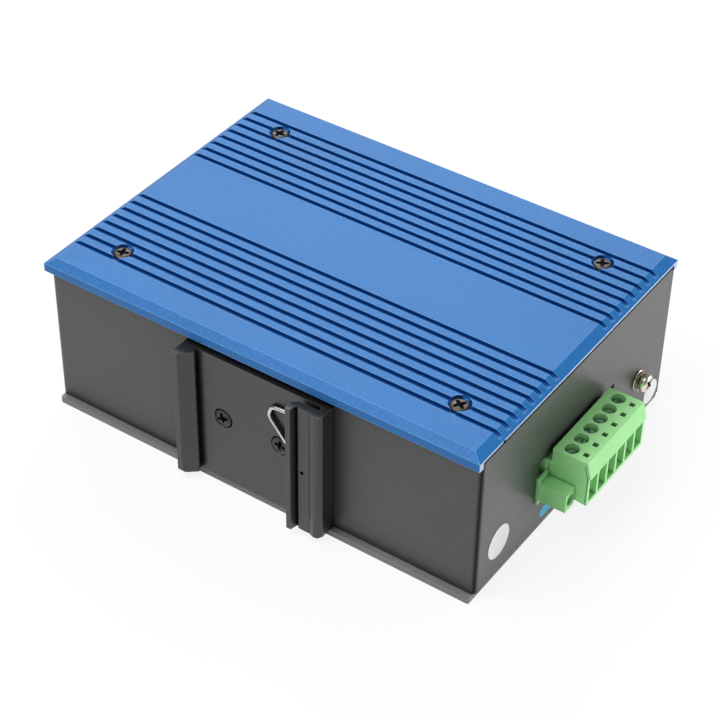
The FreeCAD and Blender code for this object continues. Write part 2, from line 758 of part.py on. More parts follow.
# Power supply parts near the terminal: capacitors, coils and the alarm relay
cans = []
for k in range(3):
    can_y = -30.0 + 11.0 * k
    can = rod(40.0, can_y, board_high, 4.0, 11.5)
    cans.append(can)
keep(group(cans), "filter_capacitors")
coils = []
for k in range(2):
    coil_y = 4.0 + 14.0 * k
    lower = block(33.5, coil_y - 6, board_high, 12, 12, 1.2)
    drum = rod(39.5, coil_y, board_high + 1.2, 5.4, 4.8)
    coils.append(join([lower, drum]))
keep(group(coils), "power_coils")
keep(block(14.0, -40.0, board_high, 15.0, 7.5, 10.0), "alarm_relay")
small = []
for k in range(6):
    small.append(block(-50.0 + 9.0 * k, -26.0, board_high, 5.0, 4.0, 1.1))
small.append(block(-38.0, -8.0, board_high, 11.0, 4.6, 3.4))
small.append(block(-40.0, 6.0, board_high, 8.0, 5.3, 1.8))
keep(group(small), "small_chips")

# Board half of the power terminal: trough, two flange blocks with a nut each
trough_back = s.trough_back
trough_front = half_case + 0.2
trough_low = s.plug_low - 1.0
trough_high = s.plug_low + 11.2
shell_full = block(trough_back, term_low - 1.0, trough_low, trough_front - trough_back,
                   s.plug_wid + 2.0, trough_high - trough_low)
shell_room = block(trough_back + 1.6, term_low - 0.1, s.plug_low - 0.1, 20,
                   s.plug_wid + 0.2, 20)
flange_parts = []
flange_cuts = []
for side in (-1, 1):
    inner = term_low if side < 0 else term_far
    near = inner - s.flange_wid - 0.1 if side < 0 else inner + 0.1
    flange_parts.append(block(trough_back, near, trough_low, s.flange_out - trough_back,
                              s.flange_wid, 6.3))
    plate_y = inner - s.flange_wid - 0.9 if side < 0 else inner + 0.1
    flange_parts.append(block(half_case, plate_y, s.plug_low - 1.9,
                              0.7, s.flange_wid + 0.8, 9.3))
    flange_cuts.append(rod(s.flange_out + 1, near + s.flange_wid / 2, trough_low + 3.15,
                           1.75, 16, "-x"))
header_full = join([shell_full] + flange_parts)
pin_slots = [block(trough_back - 1, pole_y[k] - 0.55, s.plug_low + 3.95, 4, 1.1, 1.1)
             for k in range(6)]
keep(less(header_full, [shell_room] + flange_cuts + pin_slots), "terminal_header")
pins = []
for k in range(6):
    flat = block(trough_back - 2.5, pole_y[k] - 0.5, s.plug_low + 4.0, 10.5, 1.0, 1.0)
    drop = block(trough_back - 2.5, pole_y[k] - 0.5, s.board_low - 1.6, 1.0, 1.0,
                 s.plug_low + 5.0 - s.board_low + 1.6)
    pins.append(join([flat, drop]))
keep(group(pins), "header_pins")
nuts = []
for side in (-1, 1):
    inner = term_low if side < 0 else term_far
    near = inner - s.flange_wid - 0.1 if side < 0 else inner + 0.1
    tube = rod(s.flange_out - 1.6, near + s.flange_wid / 2, trough_low + 3.15, 1.75, 6, "-x")
    core = rod(s.flange_out, near + s.flange_wid / 2, trough_low + 3.15, 1.05, 9, "-x")
    nuts.append(less_one(tube, core))
keep(group(nuts), "flange_nuts")

# Loose half of the power terminal: the six-pole plug with its clamping chambers
plug_top_in = half_case + 1.2
step_high = s.plug_low + 9.7
plug = new_body()
side_view = sketch_on(plug, "XZ_Plane", -term_low)
outline(side_view, [
    (plug_top_in - 10.0, s.plug_low + 1.2),
    (s.plug_out - 5.0, s.plug_low + 0.5),
    (s.plug_out - 0.5, s.plug_low),
    (s.plug_out - 0.45, step_high),
    (s.plug_out, step_high),
    (s.plug_out - 1.2, s.plug_high),
    (plug_top_in, s.plug_high),
    (plug_top_in, s.plug_low + 10.6),
    (plug_top_in - 10.0, s.plug_low + 10.6),
])
pad(plug, side_view, s.plug_wid, True)
top_holes = sketch_on(plug, "XY_Plane", s.plug_high)
test_holes = sketch_on(plug, "XY_Plane", s.plug_high)
shafts = sketch_on(plug, "XY_Plane", s.plug_low + 11.6)
for k in range(6):
    ring(top_holes, s.screw_line, pole_y[k], 2.15)
    ring(shafts, s.screw_line, pole_y[k], 1.35 + s.turn_gap)
    box_outline(test_holes, s.test_line - 0.8, pole_y[k] - 0.8,
                s.test_line + 0.8, pole_y[k] + 0.8)
pocket(plug, top_holes, s.plug_high - s.plug_low - 11.5)
pocket(plug, test_holes, 3.0)
pocket(plug, shafts, 0.7)
mouths = sketch_on(plug, "YZ_Plane", s.plug_out + 1)
for k in range(6):
    box_outline(mouths, pole_y[k] - 2.05, s.plug_low + 1.1, pole_y[k] + 2.05, step_high - 0.3)
pocket(plug, mouths, 3.0)
rooms = sketch_on(plug, "YZ_Plane", s.plug_out - 2.0)
for k in range(6):
    box_outline(rooms, pole_y[k] - 2.1, s.plug_low + 1.1, pole_y[k] + 2.1, s.plug_low + 11.0)
pocket(plug, rooms, s.plug_out - 2.0 - s.screw_line + 2.9)
sockets_room = sketch_on(plug, "YZ_Plane", s.screw_line - 2.8)
for k in range(6):
    box_outline(sockets_room, pole_y[k] - 1.2, s.plug_low + 3.2,
                pole_y[k] + 1.2, s.plug_low + 5.8)
pocket(plug, sockets_room, 20)
for side in (-1, 1):
    end_y = term_low if side < 0 else term_far
    slit = sketch_on(plug, "XZ_Plane", -end_y)
    outline(slit, [(s.plug_out - 1.15, s.plug_low + 1.0), (s.plug_out - 0.85, s.plug_low + 1.0),
                   (s.plug_out - 0.75, step_high), (s.plug_out - 1.9, s.plug_high - 1.5),
                   (s.plug_out - 2.2, s.plug_high - 1.5), (s.plug_out - 1.05, step_high)])
    pocket(plug, slit, 0.3, side > 0)
keep(plug, "plug_housing")

# Female contacts of the plug: a forked socket and the flat tongue under each clamp
sockets = []
for k in range(6):
    tongue = block(s.screw_line - 2.8, pole_y[k] - 1.1, s.plug_low + 5.6, 5.6, 2.2, 0.6)
    neck = block(s.screw_line - 4.2, pole_y[k] - 1.1, s.plug_low + 5.2, 1.6, 2.2, 0.6)
    upper = block(plug_top_in - 9.0, pole_y[k] - 1.1, s.plug_low + 5.2,
                  s.screw_line - 4.0 - plug_top_in + 9.0, 2.2, 0.4)
    lower = block(plug_top_in - 9.0, pole_y[k] - 1.1, s.plug_low + 3.35,
                  s.screw_line - 4.0 - plug_top_in + 9.0, 2.2, 0.4)
    web = block(s.screw_line - 4.2, pole_y[k] - 1.1, s.plug_low + 3.35, 0.5, 2.2, 2.3)
    sockets.append(join([tongue, neck, upper, lower, web]))
keep(group(sockets), "plug_contacts")

# Six rising clamps, open at the low end of their travel, and their slotted screws
for k in range(6):
    cage_low = s.plug_low + 4.0 - s.clamp_rise
    cage_out = block(s.screw_line - 2.0, pole_y[k] - 2.0, cage_low, 4.0, 4.0, 6.4)
    cage_in = block(s.screw_line - 3.0, pole_y[k] - 1.45, cage_low + 0.7, 6.0, 2.9, 4.2)
    cage_hole = rod(s.screw_line, pole_y[k], cage_low + 4.5, 1.35 + s.turn_gap, 3)
    keep(less(cage_out, [cage_in, cage_hole]), "clamp_cage_" + str(k + 1))
    head = rod(s.screw_line, pole_y[k], s.plug_low + 11.6, 1.85, 1.7)
    shank = rod(s.screw_line, pole_y[k], s.plug_low + 7.2, 1.35, 4.6)
    slot = block(s.screw_line - 2.5, pole_y[k] - 0.25, s.plug_low + 12.5, 5.0, 0.5, 1.2)
    keep(less_one(join([head, shank]), slot), "clamp_screw_" + str(k + 1))

# Earth screw on the terminal end with its washers and the nut inside
washer = less_one(rod(half_case, s.earth_y, s.earth_z, 3.6, 0.6, "x"),
                  rod(half_case - 1, s.earth_y, s.earth_z, 1.6, 3, "x"))
star = less_one(rod(half_case + 0.65, s.earth_y, s.earth_z, 3.0, 0.9, "x"),
                rod(half_case - 1, s.earth_y, s.earth_z, 1.6, 4, "x"))
keep(group([washer, star]), "earth_washers")
earth_head = rod(half_case + 1.6, s.earth_y, s.earth_z, 2.9, 1.6, "x")
earth_dome = taper(half_case + 3.2, s.earth_y, s.earth_z, 2.9, 2.0, 0.7, "x")
earth_shank = rod(half_case + 1.7, s.earth_y, s.earth_z, 1.5, 9.7, "-x")
earth_cross = cross_cut(half_case + 3.92, s.earth_y, s.earth_z, "x", 1.2, 1.5)
keep(less_one(join([earth_head, earth_dome, earth_shank]), earth_cross), "earth_screw")
nut = hexagon(half_case - s.sheet - 2.6, s.earth_y, s.earth_z, 5.5, 2.6, "x")
keep(less_one(nut, rod(half_case - 9, s.earth_y, s.earth_z, 1.5, 9, "x")), "earth_nut")

# Two round film labels on the terminal end, left plain
keep(rod(half_case, s.seal_y, s.seal_z, s.seal_rad, s.film, "x"), "round_label_near")
keep(rod(half_case, s.mark_y, s.mark_z, s.mark_rad, s.film, "x"), "round_label_far")

doc.recompute()

# Check every object, then write one file for each sub-part
for obj in doc.Objects:
    for word in obj.State:
        if word in ("Invalid", "Error"):
            raise ValueError(obj.Name + " is " + word)
os.makedirs("parts", exist_ok=True)
for obj in nodes:
    shape = obj.Shape
    if shape.isNull() or not shape.isValid():
        raise ValueError(obj.Label + " has no valid shape")
    shape.exportStep("parts/" + obj.Label + ".step")
    box = shape.BoundBox
    print(obj.Label, len(shape.Solids), round(shape.Volume, 1),
          [round(v, 2) for v in (box.XMin, box.XMax, box.YMin, box.YMax, box.ZMin, box.ZMax)])
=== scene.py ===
# %% [markdown]
# This lesson dresses the solids of an industrial network switch that clips onto a 35 mm rail.
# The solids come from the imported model, in metres, with the origin in the middle of the
# underside of the base plate. X runs to the green power terminal, -Y is the rail side and Z
# points up through the blue finned cover. Nothing is moved here: each step gives a solid its
# finish, or builds a finer piece in its place.

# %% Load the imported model
import bpy
import bmesh
import math
from mathutils import Matrix, Vector


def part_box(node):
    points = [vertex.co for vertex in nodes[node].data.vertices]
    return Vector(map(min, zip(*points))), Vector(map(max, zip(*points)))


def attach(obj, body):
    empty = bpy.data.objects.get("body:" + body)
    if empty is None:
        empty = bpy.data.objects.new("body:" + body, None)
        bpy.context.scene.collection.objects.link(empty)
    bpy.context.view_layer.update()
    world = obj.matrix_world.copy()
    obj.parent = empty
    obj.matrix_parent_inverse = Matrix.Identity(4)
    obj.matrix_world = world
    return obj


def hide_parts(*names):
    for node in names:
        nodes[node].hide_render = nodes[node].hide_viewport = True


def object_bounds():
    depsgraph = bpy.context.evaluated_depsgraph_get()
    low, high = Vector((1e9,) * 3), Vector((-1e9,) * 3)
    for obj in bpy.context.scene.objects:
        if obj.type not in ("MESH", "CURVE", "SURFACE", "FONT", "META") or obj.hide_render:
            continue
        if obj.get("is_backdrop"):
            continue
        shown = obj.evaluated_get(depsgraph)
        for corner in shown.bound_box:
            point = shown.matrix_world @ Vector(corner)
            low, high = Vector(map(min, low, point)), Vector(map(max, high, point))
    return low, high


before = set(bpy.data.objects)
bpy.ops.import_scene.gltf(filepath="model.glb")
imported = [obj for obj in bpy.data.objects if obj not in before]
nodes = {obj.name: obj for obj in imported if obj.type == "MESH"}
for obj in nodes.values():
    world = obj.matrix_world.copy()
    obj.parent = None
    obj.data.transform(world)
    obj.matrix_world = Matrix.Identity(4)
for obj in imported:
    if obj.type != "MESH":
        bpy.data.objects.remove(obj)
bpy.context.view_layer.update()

# %% [markdown]
# The picture was taken with a long lens from above the corner between the rail side and the
# terminal end. A camera needs a place and three directions: right, up and back. They are
# worked out from a compass angle, a height angle and a small roll, which is easier to read
# and to change than a rotation typed in by hand.

# %% Camera
compass = math.radians(33.963)
height = math.radians(39.647)
roll = math.radians(1.045)
lens_place = (0.26167, -0.38878, 0.40335)
lens_length = 103.447
back = Vector((math.sin(compass) * math.cos(height), -math.cos(compass) * math.cos(height),
               math.sin(height)))
level_right = Vector((math.cos(compass), math.sin(compass), 0.0))
level_up = back.cross(level_right)
right = math.cos(roll) * level_right + math.sin(roll) * level_up
up = -math.sin(roll) * level_right + math.cos(roll) * level_up
lens = bpy.data.cameras.new("photo_camera")
lens.lens = lens_length
lens.sensor_width = 36.0
lens.clip_start = 0.01
camera = bpy.data.objects.new("photo_camera", lens)
bpy.context.scene.collection.objects.link(camera)
camera.matrix_world = Matrix.Translation(lens_place) @ \
    Matrix((right, up, back)).transposed().to_4x4()
bpy.context.scene.camera = camera
bpy.context.scene.view_settings.view_transform = "Standard"

# %% [markdown]
# A finish is a small network of nodes. All of them start the same way: an empty material, one
# main shader and the object's own coordinates, so that a grain keeps its real size in metres.
# A noise of scale 1000 then has lumps of about a millimetre.

# %% Start of a finish, and its grain
def start_finish(name):
    finish = bpy.data.materials.new(name)
    finish.use_nodes = True
    tree = finish.node_tree
    shader = tree.nodes["Principled BSDF"]
    coordinates = tree.nodes.new("ShaderNodeTexCoord")
    return finish, tree, shader, coordinates.outputs["Object"]


def noise(tree, source, scale, detail=2.0, roughness=0.5):
    node = tree.nodes.new("ShaderNodeTexNoise")
    node.inputs["Scale"].default_value = scale
    node.inputs["Detail"].default_value = detail
    node.inputs["Roughness"].default_value = roughness
    tree.links.new(source, node.inputs["Vector"])
    return node.outputs["Fac"]


def give(finish, *names):
    for name in names:
        nodes[name].data.materials.clear()
        nodes[name].data.materials.append(finish)


print("start_finish, noise and give are ready")

# %% [markdown]
# A noise is only a number between 0 and 1 at each point. A ramp turns it into colours, and a
# spread turns it into another range of numbers, such as a roughness from 0.4 to 0.5.

# %% From numbers to colours
def ramp(tree, value, stops):
    node = tree.nodes.new("ShaderNodeValToRGB")
    while len(node.color_ramp.elements) < len(stops):
        node.color_ramp.elements.new(0.5)
    for element, (place, colour) in zip(node.color_ramp.elements, stops):
        element.position = place
        element.color = (*colour, 1.0)
    tree.links.new(value, node.inputs["Fac"])
    return node.outputs["Color"]


def spread(tree, value, low, high, from_low=0.3, from_high=0.7):
    node = tree.nodes.new("ShaderNodeMapRange")
    node.inputs["From Min"].default_value = from_low
    node.inputs["From Max"].default_value = from_high
    node.inputs["To Min"].default_value = low
    node.inputs["To Max"].default_value = high
    tree.links.new(value, node.inputs["Value"])
    return node.outputs["Result"]


print("ramp and spread are ready")

# %% [markdown]
# Wear, dirt and shade come on top of a base colour, so two colours are mixed by an amount, or
# one is multiplied into the other. Each input may be another node's result, a plain colour or
# a plain number, and one small helper puts in whichever it is given.

# %% Mixing and multiplying
def fill(tree, socket, value):
    """A socket takes a link, a colour or a plain number."""
    if isinstance(value, bpy.types.NodeSocket):
        tree.links.new(value, socket)
    elif isinstance(value, tuple):
        socket.default_value = (*value, 1.0)
    else:
        socket.default_value = value


def mix(tree, amount, first, second, way="MIX"):
    node = tree.nodes.new("ShaderNodeMix")
    node.data_type = "RGBA"
    node.blend_type = way
    for number, value in ((0, amount), (6, first), (7, second)):
        fill(tree, node.inputs[number], value)
    return node.outputs[2]


def times(tree, first, second):
    node = tree.nodes.new("ShaderNodeMath")
    node.operation = "MULTIPLY"
    fill(tree, node.inputs[0], first)
    fill(tree, node.inputs[1], second)
    return node.outputs[0]


print("mix and times are ready")

# %% [markdown]
# A grain is felt as well as seen. A bump bends the light as if the surface rose and fell, and
# its depth is given in metres: a blasted skin is about a tenth of a millimetre deep, a moulded
# one a third of that.

# %% Fine relief
def bump(tree, shader, heights, strength):
    """Each height is a value with its depth in metres; they are laid one over another."""
    normal = None
    for value, depth in heights:
        node = tree.nodes.new("ShaderNodeBump")
        node.inputs["Strength"].default_value = strength
        node.inputs["Distance"].default_value = depth
        tree.links.new(value, node.inputs["Height"])
        if normal is not None:
            tree.links.new(normal, node.inputs["Normal"])
        normal = node.outputs["Normal"]
    tree.links.new(normal, shader.inputs["Normal"])


print("bump is ready")

# %% [markdown]
# Finishes differ by place: edges are made paler, partly rubbed wear and partly a painted
# highlight, and grooves and holes get a painted shade and less gloss. Two masks find such places
# on any solid. One compares a rounded normal with the true one, which differ only near an edge.
# The other looks how much of the space above a point is open.

# %% Masks for edges and depths
def edge_mask(tree, radius):
    """White on edges and corners, from how far a rounded normal leans off the true one."""
    rounded = tree.nodes.new("ShaderNodeBevel")
    rounded.inputs["Radius"].default_value = radius
    plain = tree.nodes.new("ShaderNodeNewGeometry")
    lean = tree.nodes.new("ShaderNodeVectorMath")
    lean.operation = "DISTANCE"
    tree.links.new(rounded.outputs["Normal"], lean.inputs[0])
    tree.links.new(plain.outputs["Normal"], lean.inputs[1])
    return lean.outputs["Value"]


def depth_mask(tree, reach):
    """Black deep inside holes, slots and gaps, white on open faces."""
    node = tree.nodes.new("ShaderNodeAmbientOcclusion")
    node.samples = 8
    node.inputs["Distance"].default_value = reach
    return node.outputs["AO"]


print("edge_mask and depth_mask are ready")

# %% [markdown]
# The cover is cut from a long profile with a saw. Its two ends get a painted highlight: a pale
# colour that stands in for the bright line along them. Their faces look straight along X, so the
# size of the normal's X part finds them. Its bevels lean too far to be taken in. The three sizes
# serve again later, to find the bends of the case.

# %% Mask for the sawn ends
def normal_parts(tree):
    """The sizes of the object's own normal along X, Y and Z, whichever way it points."""
    coordinates = tree.nodes.new("ShaderNodeTexCoord")
    size = tree.nodes.new("ShaderNodeVectorMath")
    size.operation = "ABSOLUTE"
    tree.links.new(coordinates.outputs["Normal"], size.inputs[0])
    split = tree.nodes.new("ShaderNodeSeparateXYZ")
    tree.links.new(size.outputs["Vector"], split.inputs["Vector"])
    return split.outputs


def cut_end_mask(tree, low=0.72, high=0.92):
    """White on the two sawn ends of a long profile, the faces that look along its length."""
    return spread(tree, normal_parts(tree)["X"], 0.0, 1.0, low, high)


print("cut_end_mask is ready")

# %% [markdown]
# The cover is an aluminium extrusion that was blasted with fine beads and then anodised blue.
# The dye lies under a hard clear skin, so the metal looks deep blue where nothing shines on it
# and turns pale where a lamp is mirrored. A dark, full blue under a broad white gloss does
# that. Blasting leaves a grain of a third of a millimetre, which two noises repeat. The grooves
# get a painted shade, a darker and fuller blue, and lose their gloss. The edges are paler, partly
# rubbed wear and partly a painted highlight, and the sawn ends get a pale painted highlight. The
# walls of the screw holes also look along X in places, and a depth mask keeps them out of that
# highlight.

# %% Blue anodised finish
def blue_anodised(deep, full, rubbed_and_highlight, end_highlight, groove_shade):
    rubbed_and_highlight_width, hole_reach, groove_reach = 0.00035, 0.0012, 0.0026
    gloss, clear_skin = 0.34, 0.10
    groove_low, groove_high = 0.42, 0.93
    finish, tree, shader, place = start_finish("blue_anodised")
    fine = noise(tree, place, 2700.0, 2.0, 0.6)
    coarse = noise(tree, place, 1300.0, 2.0)
    slow = noise(tree, place, 18.0, 2.0)
    colour = ramp(tree, slow, [(0.3, deep), (0.7, full)])
    speck = ramp(tree, fine, [(0.36, (0.70, 0.76, 0.82)), (0.64, (1.40, 1.28, 1.20))])
    colour = mix(tree, 0.9, colour, speck, "MULTIPLY")
    # Paler blue on the edges: partly rubbed wear, partly a painted highlight.
    edge = spread(tree, edge_mask(tree, rubbed_and_highlight_width), 0.0, 0.75, 0.05, 0.5)
    colour = mix(tree, edge, colour, rubbed_and_highlight)
    # Pale colour on the end faces: a painted highlight, kept off the walls of the screw holes.
    end_highlight_share = times(tree, cut_end_mask(tree), depth_mask(tree, hole_reach))
    colour = mix(tree, end_highlight_share, colour, end_highlight)
    # Darker, fuller blue in the grooves: a painted shade.
    depth = depth_mask(tree, groove_reach)
    open_share = spread(tree, depth, groove_low, 1.0, groove_low, groove_high)
    shade = ramp(tree, depth, [(groove_low, groove_shade), (groove_high, (1.0, 1.0, 1.0))])
    colour = mix(tree, 1.0, colour, shade, "MULTIPLY")
    tree.links.new(colour, shader.inputs["Base Color"])
    tree.links.new(spread(tree, coarse, 0.40, 0.50), shader.inputs["Roughness"])
    tree.links.new(times(tree, open_share, gloss), shader.inputs["Specular IOR Level"])
    tree.links.new(times(tree, open_share, clear_skin), shader.inputs["Coat Weight"])
    shader.inputs["Metallic"].default_value = 0.12
    shader.inputs["Coat Roughness"].default_value = 0.45
    bump(tree, shader, [(coarse, 0.00009), (fine, 0.00009)], 0.6)
    return finish


blue = blue_anodised(deep=(0.003, 0.119, 0.360), full=(0.005, 0.132, 0.395),
                     rubbed_and_highlight=(0.14, 0.40, 0.80), end_highlight=(0.46, 0.52, 0.70),
                     groove_shade=(0.25, 0.38, 0.58))
give(blue, "heatsink_cover")
print("finish:", blue.name)

# %% [markdown]
# The case is folded from sheet. On its flat faces the normal follows one axis, so one of its
# three parts is nearly 1. Round a bend none of them is, and that is all this mask looks for.

# %% Mask for the bends of folded sheet
def bend_mask(tree, low=0.80, high=0.995):
    """White where a square part turns round a corner: its normal then follows no single axis."""
    parts = normal_parts(tree)
    largest = parts["X"]
    for axis in ("Y", "Z"):
        node = tree.nodes.new("ShaderNodeMath")
        node.operation = "MAXIMUM"
        tree.links.new(largest, node.inputs[0])
        tree.links.new(parts[axis], node.inputs[1])
        largest = node.outputs[0]
    return spread(tree, largest, 1.0, 0.0, low, high)


print("bend_mask is ready")

# %% [markdown]
# The folded case is steel with a black coat, sprayed and baked. What looks like grey on it is
# mostly the white floor in its gloss, so it is paler on the end that is seen at a flat angle.
# The finish follows that: nearly black below, a clear coat above. Sprayed coats have a low
# orange-peel texture, soft dimples half a millimetre across. The bends get a painted shade, a dark
# line with less gloss, and gaps get a painted shade too. Beside the terminal and the bracket,
# which stand in the way of the floor, the gloss fades.

# %% Coated sheet
def coated_sheet(name, dark, light, rough, gloss, bend_painted_light=0.25, grit=0.19):
    gap_reach, neighbour_reach = 0.0016, 0.014
    bare_gloss = 0.5
    finish, tree, shader, place = start_finish(name)
    peel = noise(tree, place, 1500.0, 2.0, 0.5)
    dust = noise(tree, place, 4600.0, 2.0, 0.7)
    slow = noise(tree, place, 26.0, 3.0)
    colour = ramp(tree, slow, [(0.3, (dark,) * 3), (0.7, (light,) * 3)])
    speck = ramp(tree, dust, [(0.3, (1.0 - grit,) * 3), (0.7, (1.0 + grit,) * 3)])
    colour = mix(tree, 0.9, colour, speck, "MULTIPLY")
    edge = bend_mask(tree)
    # At the bends the colour is mixed towards the dark times the bend factor: a painted shade on
    # the case, a painted highlight on the base plate where the factor is above 1.
    colour = mix(tree, edge, colour, (dark * bend_painted_light,) * 3)
    # Painted shade in gaps and recesses, from the depth mask.
    open_share = spread(tree, depth_mask(tree, gap_reach), 0.25, 1.0, 0.2, 0.7)
    colour = mix(tree, 1.0, colour, open_share, "MULTIPLY")
    tree.links.new(colour, shader.inputs["Base Color"])
    tree.links.new(spread(tree, peel, *rough), shader.inputs["Roughness"])
    mirror = spread(tree, edge, bare_gloss, bare_gloss * bend_painted_light, 0.0, 1.0)
    tree.links.new(mirror, shader.inputs["Specular IOR Level"])
    coat = times(tree, spread(tree, edge, gloss, gloss * bend_painted_light, 0.0, 1.0), open_share)
    clear_share = spread(tree, depth_mask(tree, neighbour_reach), 0.35, 1.0, 0.5, 0.96)
    tree.links.new(times(tree, coat, clear_share), shader.inputs["Coat Weight"])
    shader.inputs["Coat Roughness"].default_value = 0.34
    bump(tree, shader, [(peel, 0.00004), (dust, 0.00002)], 0.35)
    return finish


charcoal = coated_sheet("charcoal_coat", 0.018, 0.024, (0.42, 0.54), 0.60)
give(charcoal, "case_shell", "port_panel")
print("finish:", charcoal.name)

# %% [markdown]
# The base plate has the same coat over a coarser, paler grain. Its thin rim gets a painted
# highlight where the case is dark. So the recipe is the same, with more grit and bends that are
# painted lighter than the face and not darker.

# %% Base plate
plate = coated_sheet("grained_plate", 0.140, 0.200, (0.42, 0.56), 0.4, bend_painted_light=1.6, grit=0.5)
give(plate, "base_plate")
print("finish:", plate.name)

# %% [markdown]
# The rail bracket is a black anodised extrusion. Its die leaves faint lines along its length,
# which is Z here, so its noise is squeezed across X and Y and drawn out along Z. The skin is
# glossy enough to darken beside its own feet, where it mirrors them instead of the floor. Its
# edges are paler, partly rubbed wear and partly a painted highlight, and its slot and the rings
# round its screws get a painted shade.

# %% Black extrusion
def stretch(tree, source, scale):
    node = tree.nodes.new("ShaderNodeMapping")
    node.inputs["Scale"].default_value = scale
    tree.links.new(source, node.inputs["Vector"])
    return node.outputs["Vector"]


def black_extrusion(dark, light, rubbed_and_highlight):
    rubbed_and_highlight_width, slot_reach = 0.0003, 0.0022
    gloss, clear_skin = 0.55, 0.3
    along_die = (1900.0, 1900.0, 30.0)
    finish, tree, shader, place = start_finish("black_extrusion")
    lines = noise(tree, stretch(tree, place, along_die), 1.0, 2.0)
    dust = noise(tree, place, 4200.0, 2.0, 0.7)
    colour = ramp(tree, lines, [(0.3, (dark,) * 3), (0.7, (light,) * 3)])
    # Paler edges: partly rubbed wear, partly a painted highlight.
    edge = spread(tree, edge_mask(tree, rubbed_and_highlight_width), 0.0, 0.5, 0.12, 0.9)
    colour = mix(tree, edge, colour, (rubbed_and_highlight,) * 3)
    # Painted shade in the slot and round the screw heads, from the depth mask.
    open_share = spread(tree, depth_mask(tree, slot_reach), 0.1, 1.0, 0.25, 0.8)
    colour = mix(tree, 1.0, colour, open_share, "MULTIPLY")
    tree.links.new(colour, shader.inputs["Base Color"])
    tree.links.new(spread(tree, dust, 0.30, 0.44), shader.inputs["Roughness"])
    tree.links.new(times(tree, open_share, gloss), shader.inputs["Specular IOR Level"])
    tree.links.new(times(tree, open_share, clear_skin), shader.inputs["Coat Weight"])
    shader.inputs["Coat Roughness"].default_value = 0.26
    bump(tree, shader, [(lines, 0.000008), (dust, 0.000025)], 0.35)
    return finish


extrusion = black_extrusion(0.015, 0.019, 0.22)
give(extrusion, "rail_bracket")
print("finish:", extrusion.name)

# %% [markdown]
# Screws, washers, posts and wire are plated, burnished or milled metal. Turned parts show fine
# rings and a few darker stains, so one recipe serves them all, with two colours for each metal
# and a range of roughness.

# %% Plated metals
def plated(name, dark, light, rough_low, rough_high, metal=1.0):
    stain = 0.5
    finish, tree, shader, place = start_finish(name)
    fine = noise(tree, place, 3800.0, 3.0, 0.6)
    patch = noise(tree, place, 420.0, 3.0, 0.6)
    colour = ramp(tree, patch, [(0.32, dark), (0.62, light)])
    speck = ramp(tree, fine, [(0.3, (1.0 - 0.3 * stain,) * 3), (0.7, (1.0 + 0.15 * stain,) * 3)])
    colour = mix(tree, 0.7, colour, speck, "MULTIPLY")
    tree.links.new(colour, shader.inputs["Base Color"])
    tree.links.new(spread(tree, fine, rough_low, rough_high), shader.inputs["Roughness"])
    shader.inputs["Metallic"].default_value = metal
    bump(tree, shader, [(fine, 0.00002)], 0.3)
    return finish


print("plated is ready")

# %% [markdown]
# The earth screw is bright nickel with a warm tone. The cover's screws are burnished brown and
# the bracket's are blackened. The crosses pressed into the heads get a painted shade: near black
# in the sets, the dark burnished finish in the earth screw. The others are tin, zinc, gold,
# spring steel and bare aluminium.

# %% Which metal each piece has
nickel = plated("nickel_plate", (0.56, 0.48, 0.38), (0.82, 0.75, 0.65), 0.14, 0.26)
burnished = plated("burnished_steel", (0.055, 0.046, 0.042), (0.100, 0.086, 0.078),
                   0.30, 0.46, metal=0.55)
blackened = plated("blackened_steel", (0.022, 0.022, 0.022), (0.036, 0.036, 0.037),
                   0.16, 0.30, metal=0.35)
recess_shade_black = plated("recess_shade_black", (0.004, 0.004, 0.004), (0.009, 0.009, 0.009),
                      0.30, 0.45, metal=0.0)
spring_steel = plated("spring_steel", (0.50, 0.49, 0.47), (0.72, 0.71, 0.69), 0.16, 0.28)
tin = plated("tin_plate", (0.55, 0.55, 0.54), (0.70, 0.70, 0.69), 0.26, 0.42)
screw_zinc = plated("zinc_screw", (0.45, 0.50, 0.54), (0.70, 0.76, 0.80), 0.20, 0.34)
gold = plated("gold_plate", (0.72, 0.52, 0.20), (0.90, 0.68, 0.30), 0.18, 0.30)
milled = plated("milled_aluminium", (0.55, 0.56, 0.57), (0.72, 0.73, 0.74), 0.30, 0.45)

clamp_count = 6
give(burnished, "cover_screws")
give(blackened, "bracket_screws", "base_screws")
give(nickel, "cover_posts", "board_posts", "earth_washers", "earth_screw", "earth_nut")
give(nickel, *["clamp_screw_%d" % k for k in range(1, clamp_count + 1)])
give(tin, *["clamp_cage_%d" % k for k in range(1, clamp_count + 1)])
give(tin, "jack_shield", "header_pins", "flange_nuts", "plug_contacts")
give(gold, "jack_contacts")
give(milled, "heat_block", "filter_capacitors")
give(spring_steel, "rail_spring")
print("metal finishes: 9")

# %% [markdown]
# Moulded plastics are not flat colours either. They have a fine eroded texture from the mould,
# with slow swirls where the melt flowed. The green terminal plastic also lets some light in. Its
# edges get a painted highlight, and its shafts and mouths a painted shade.

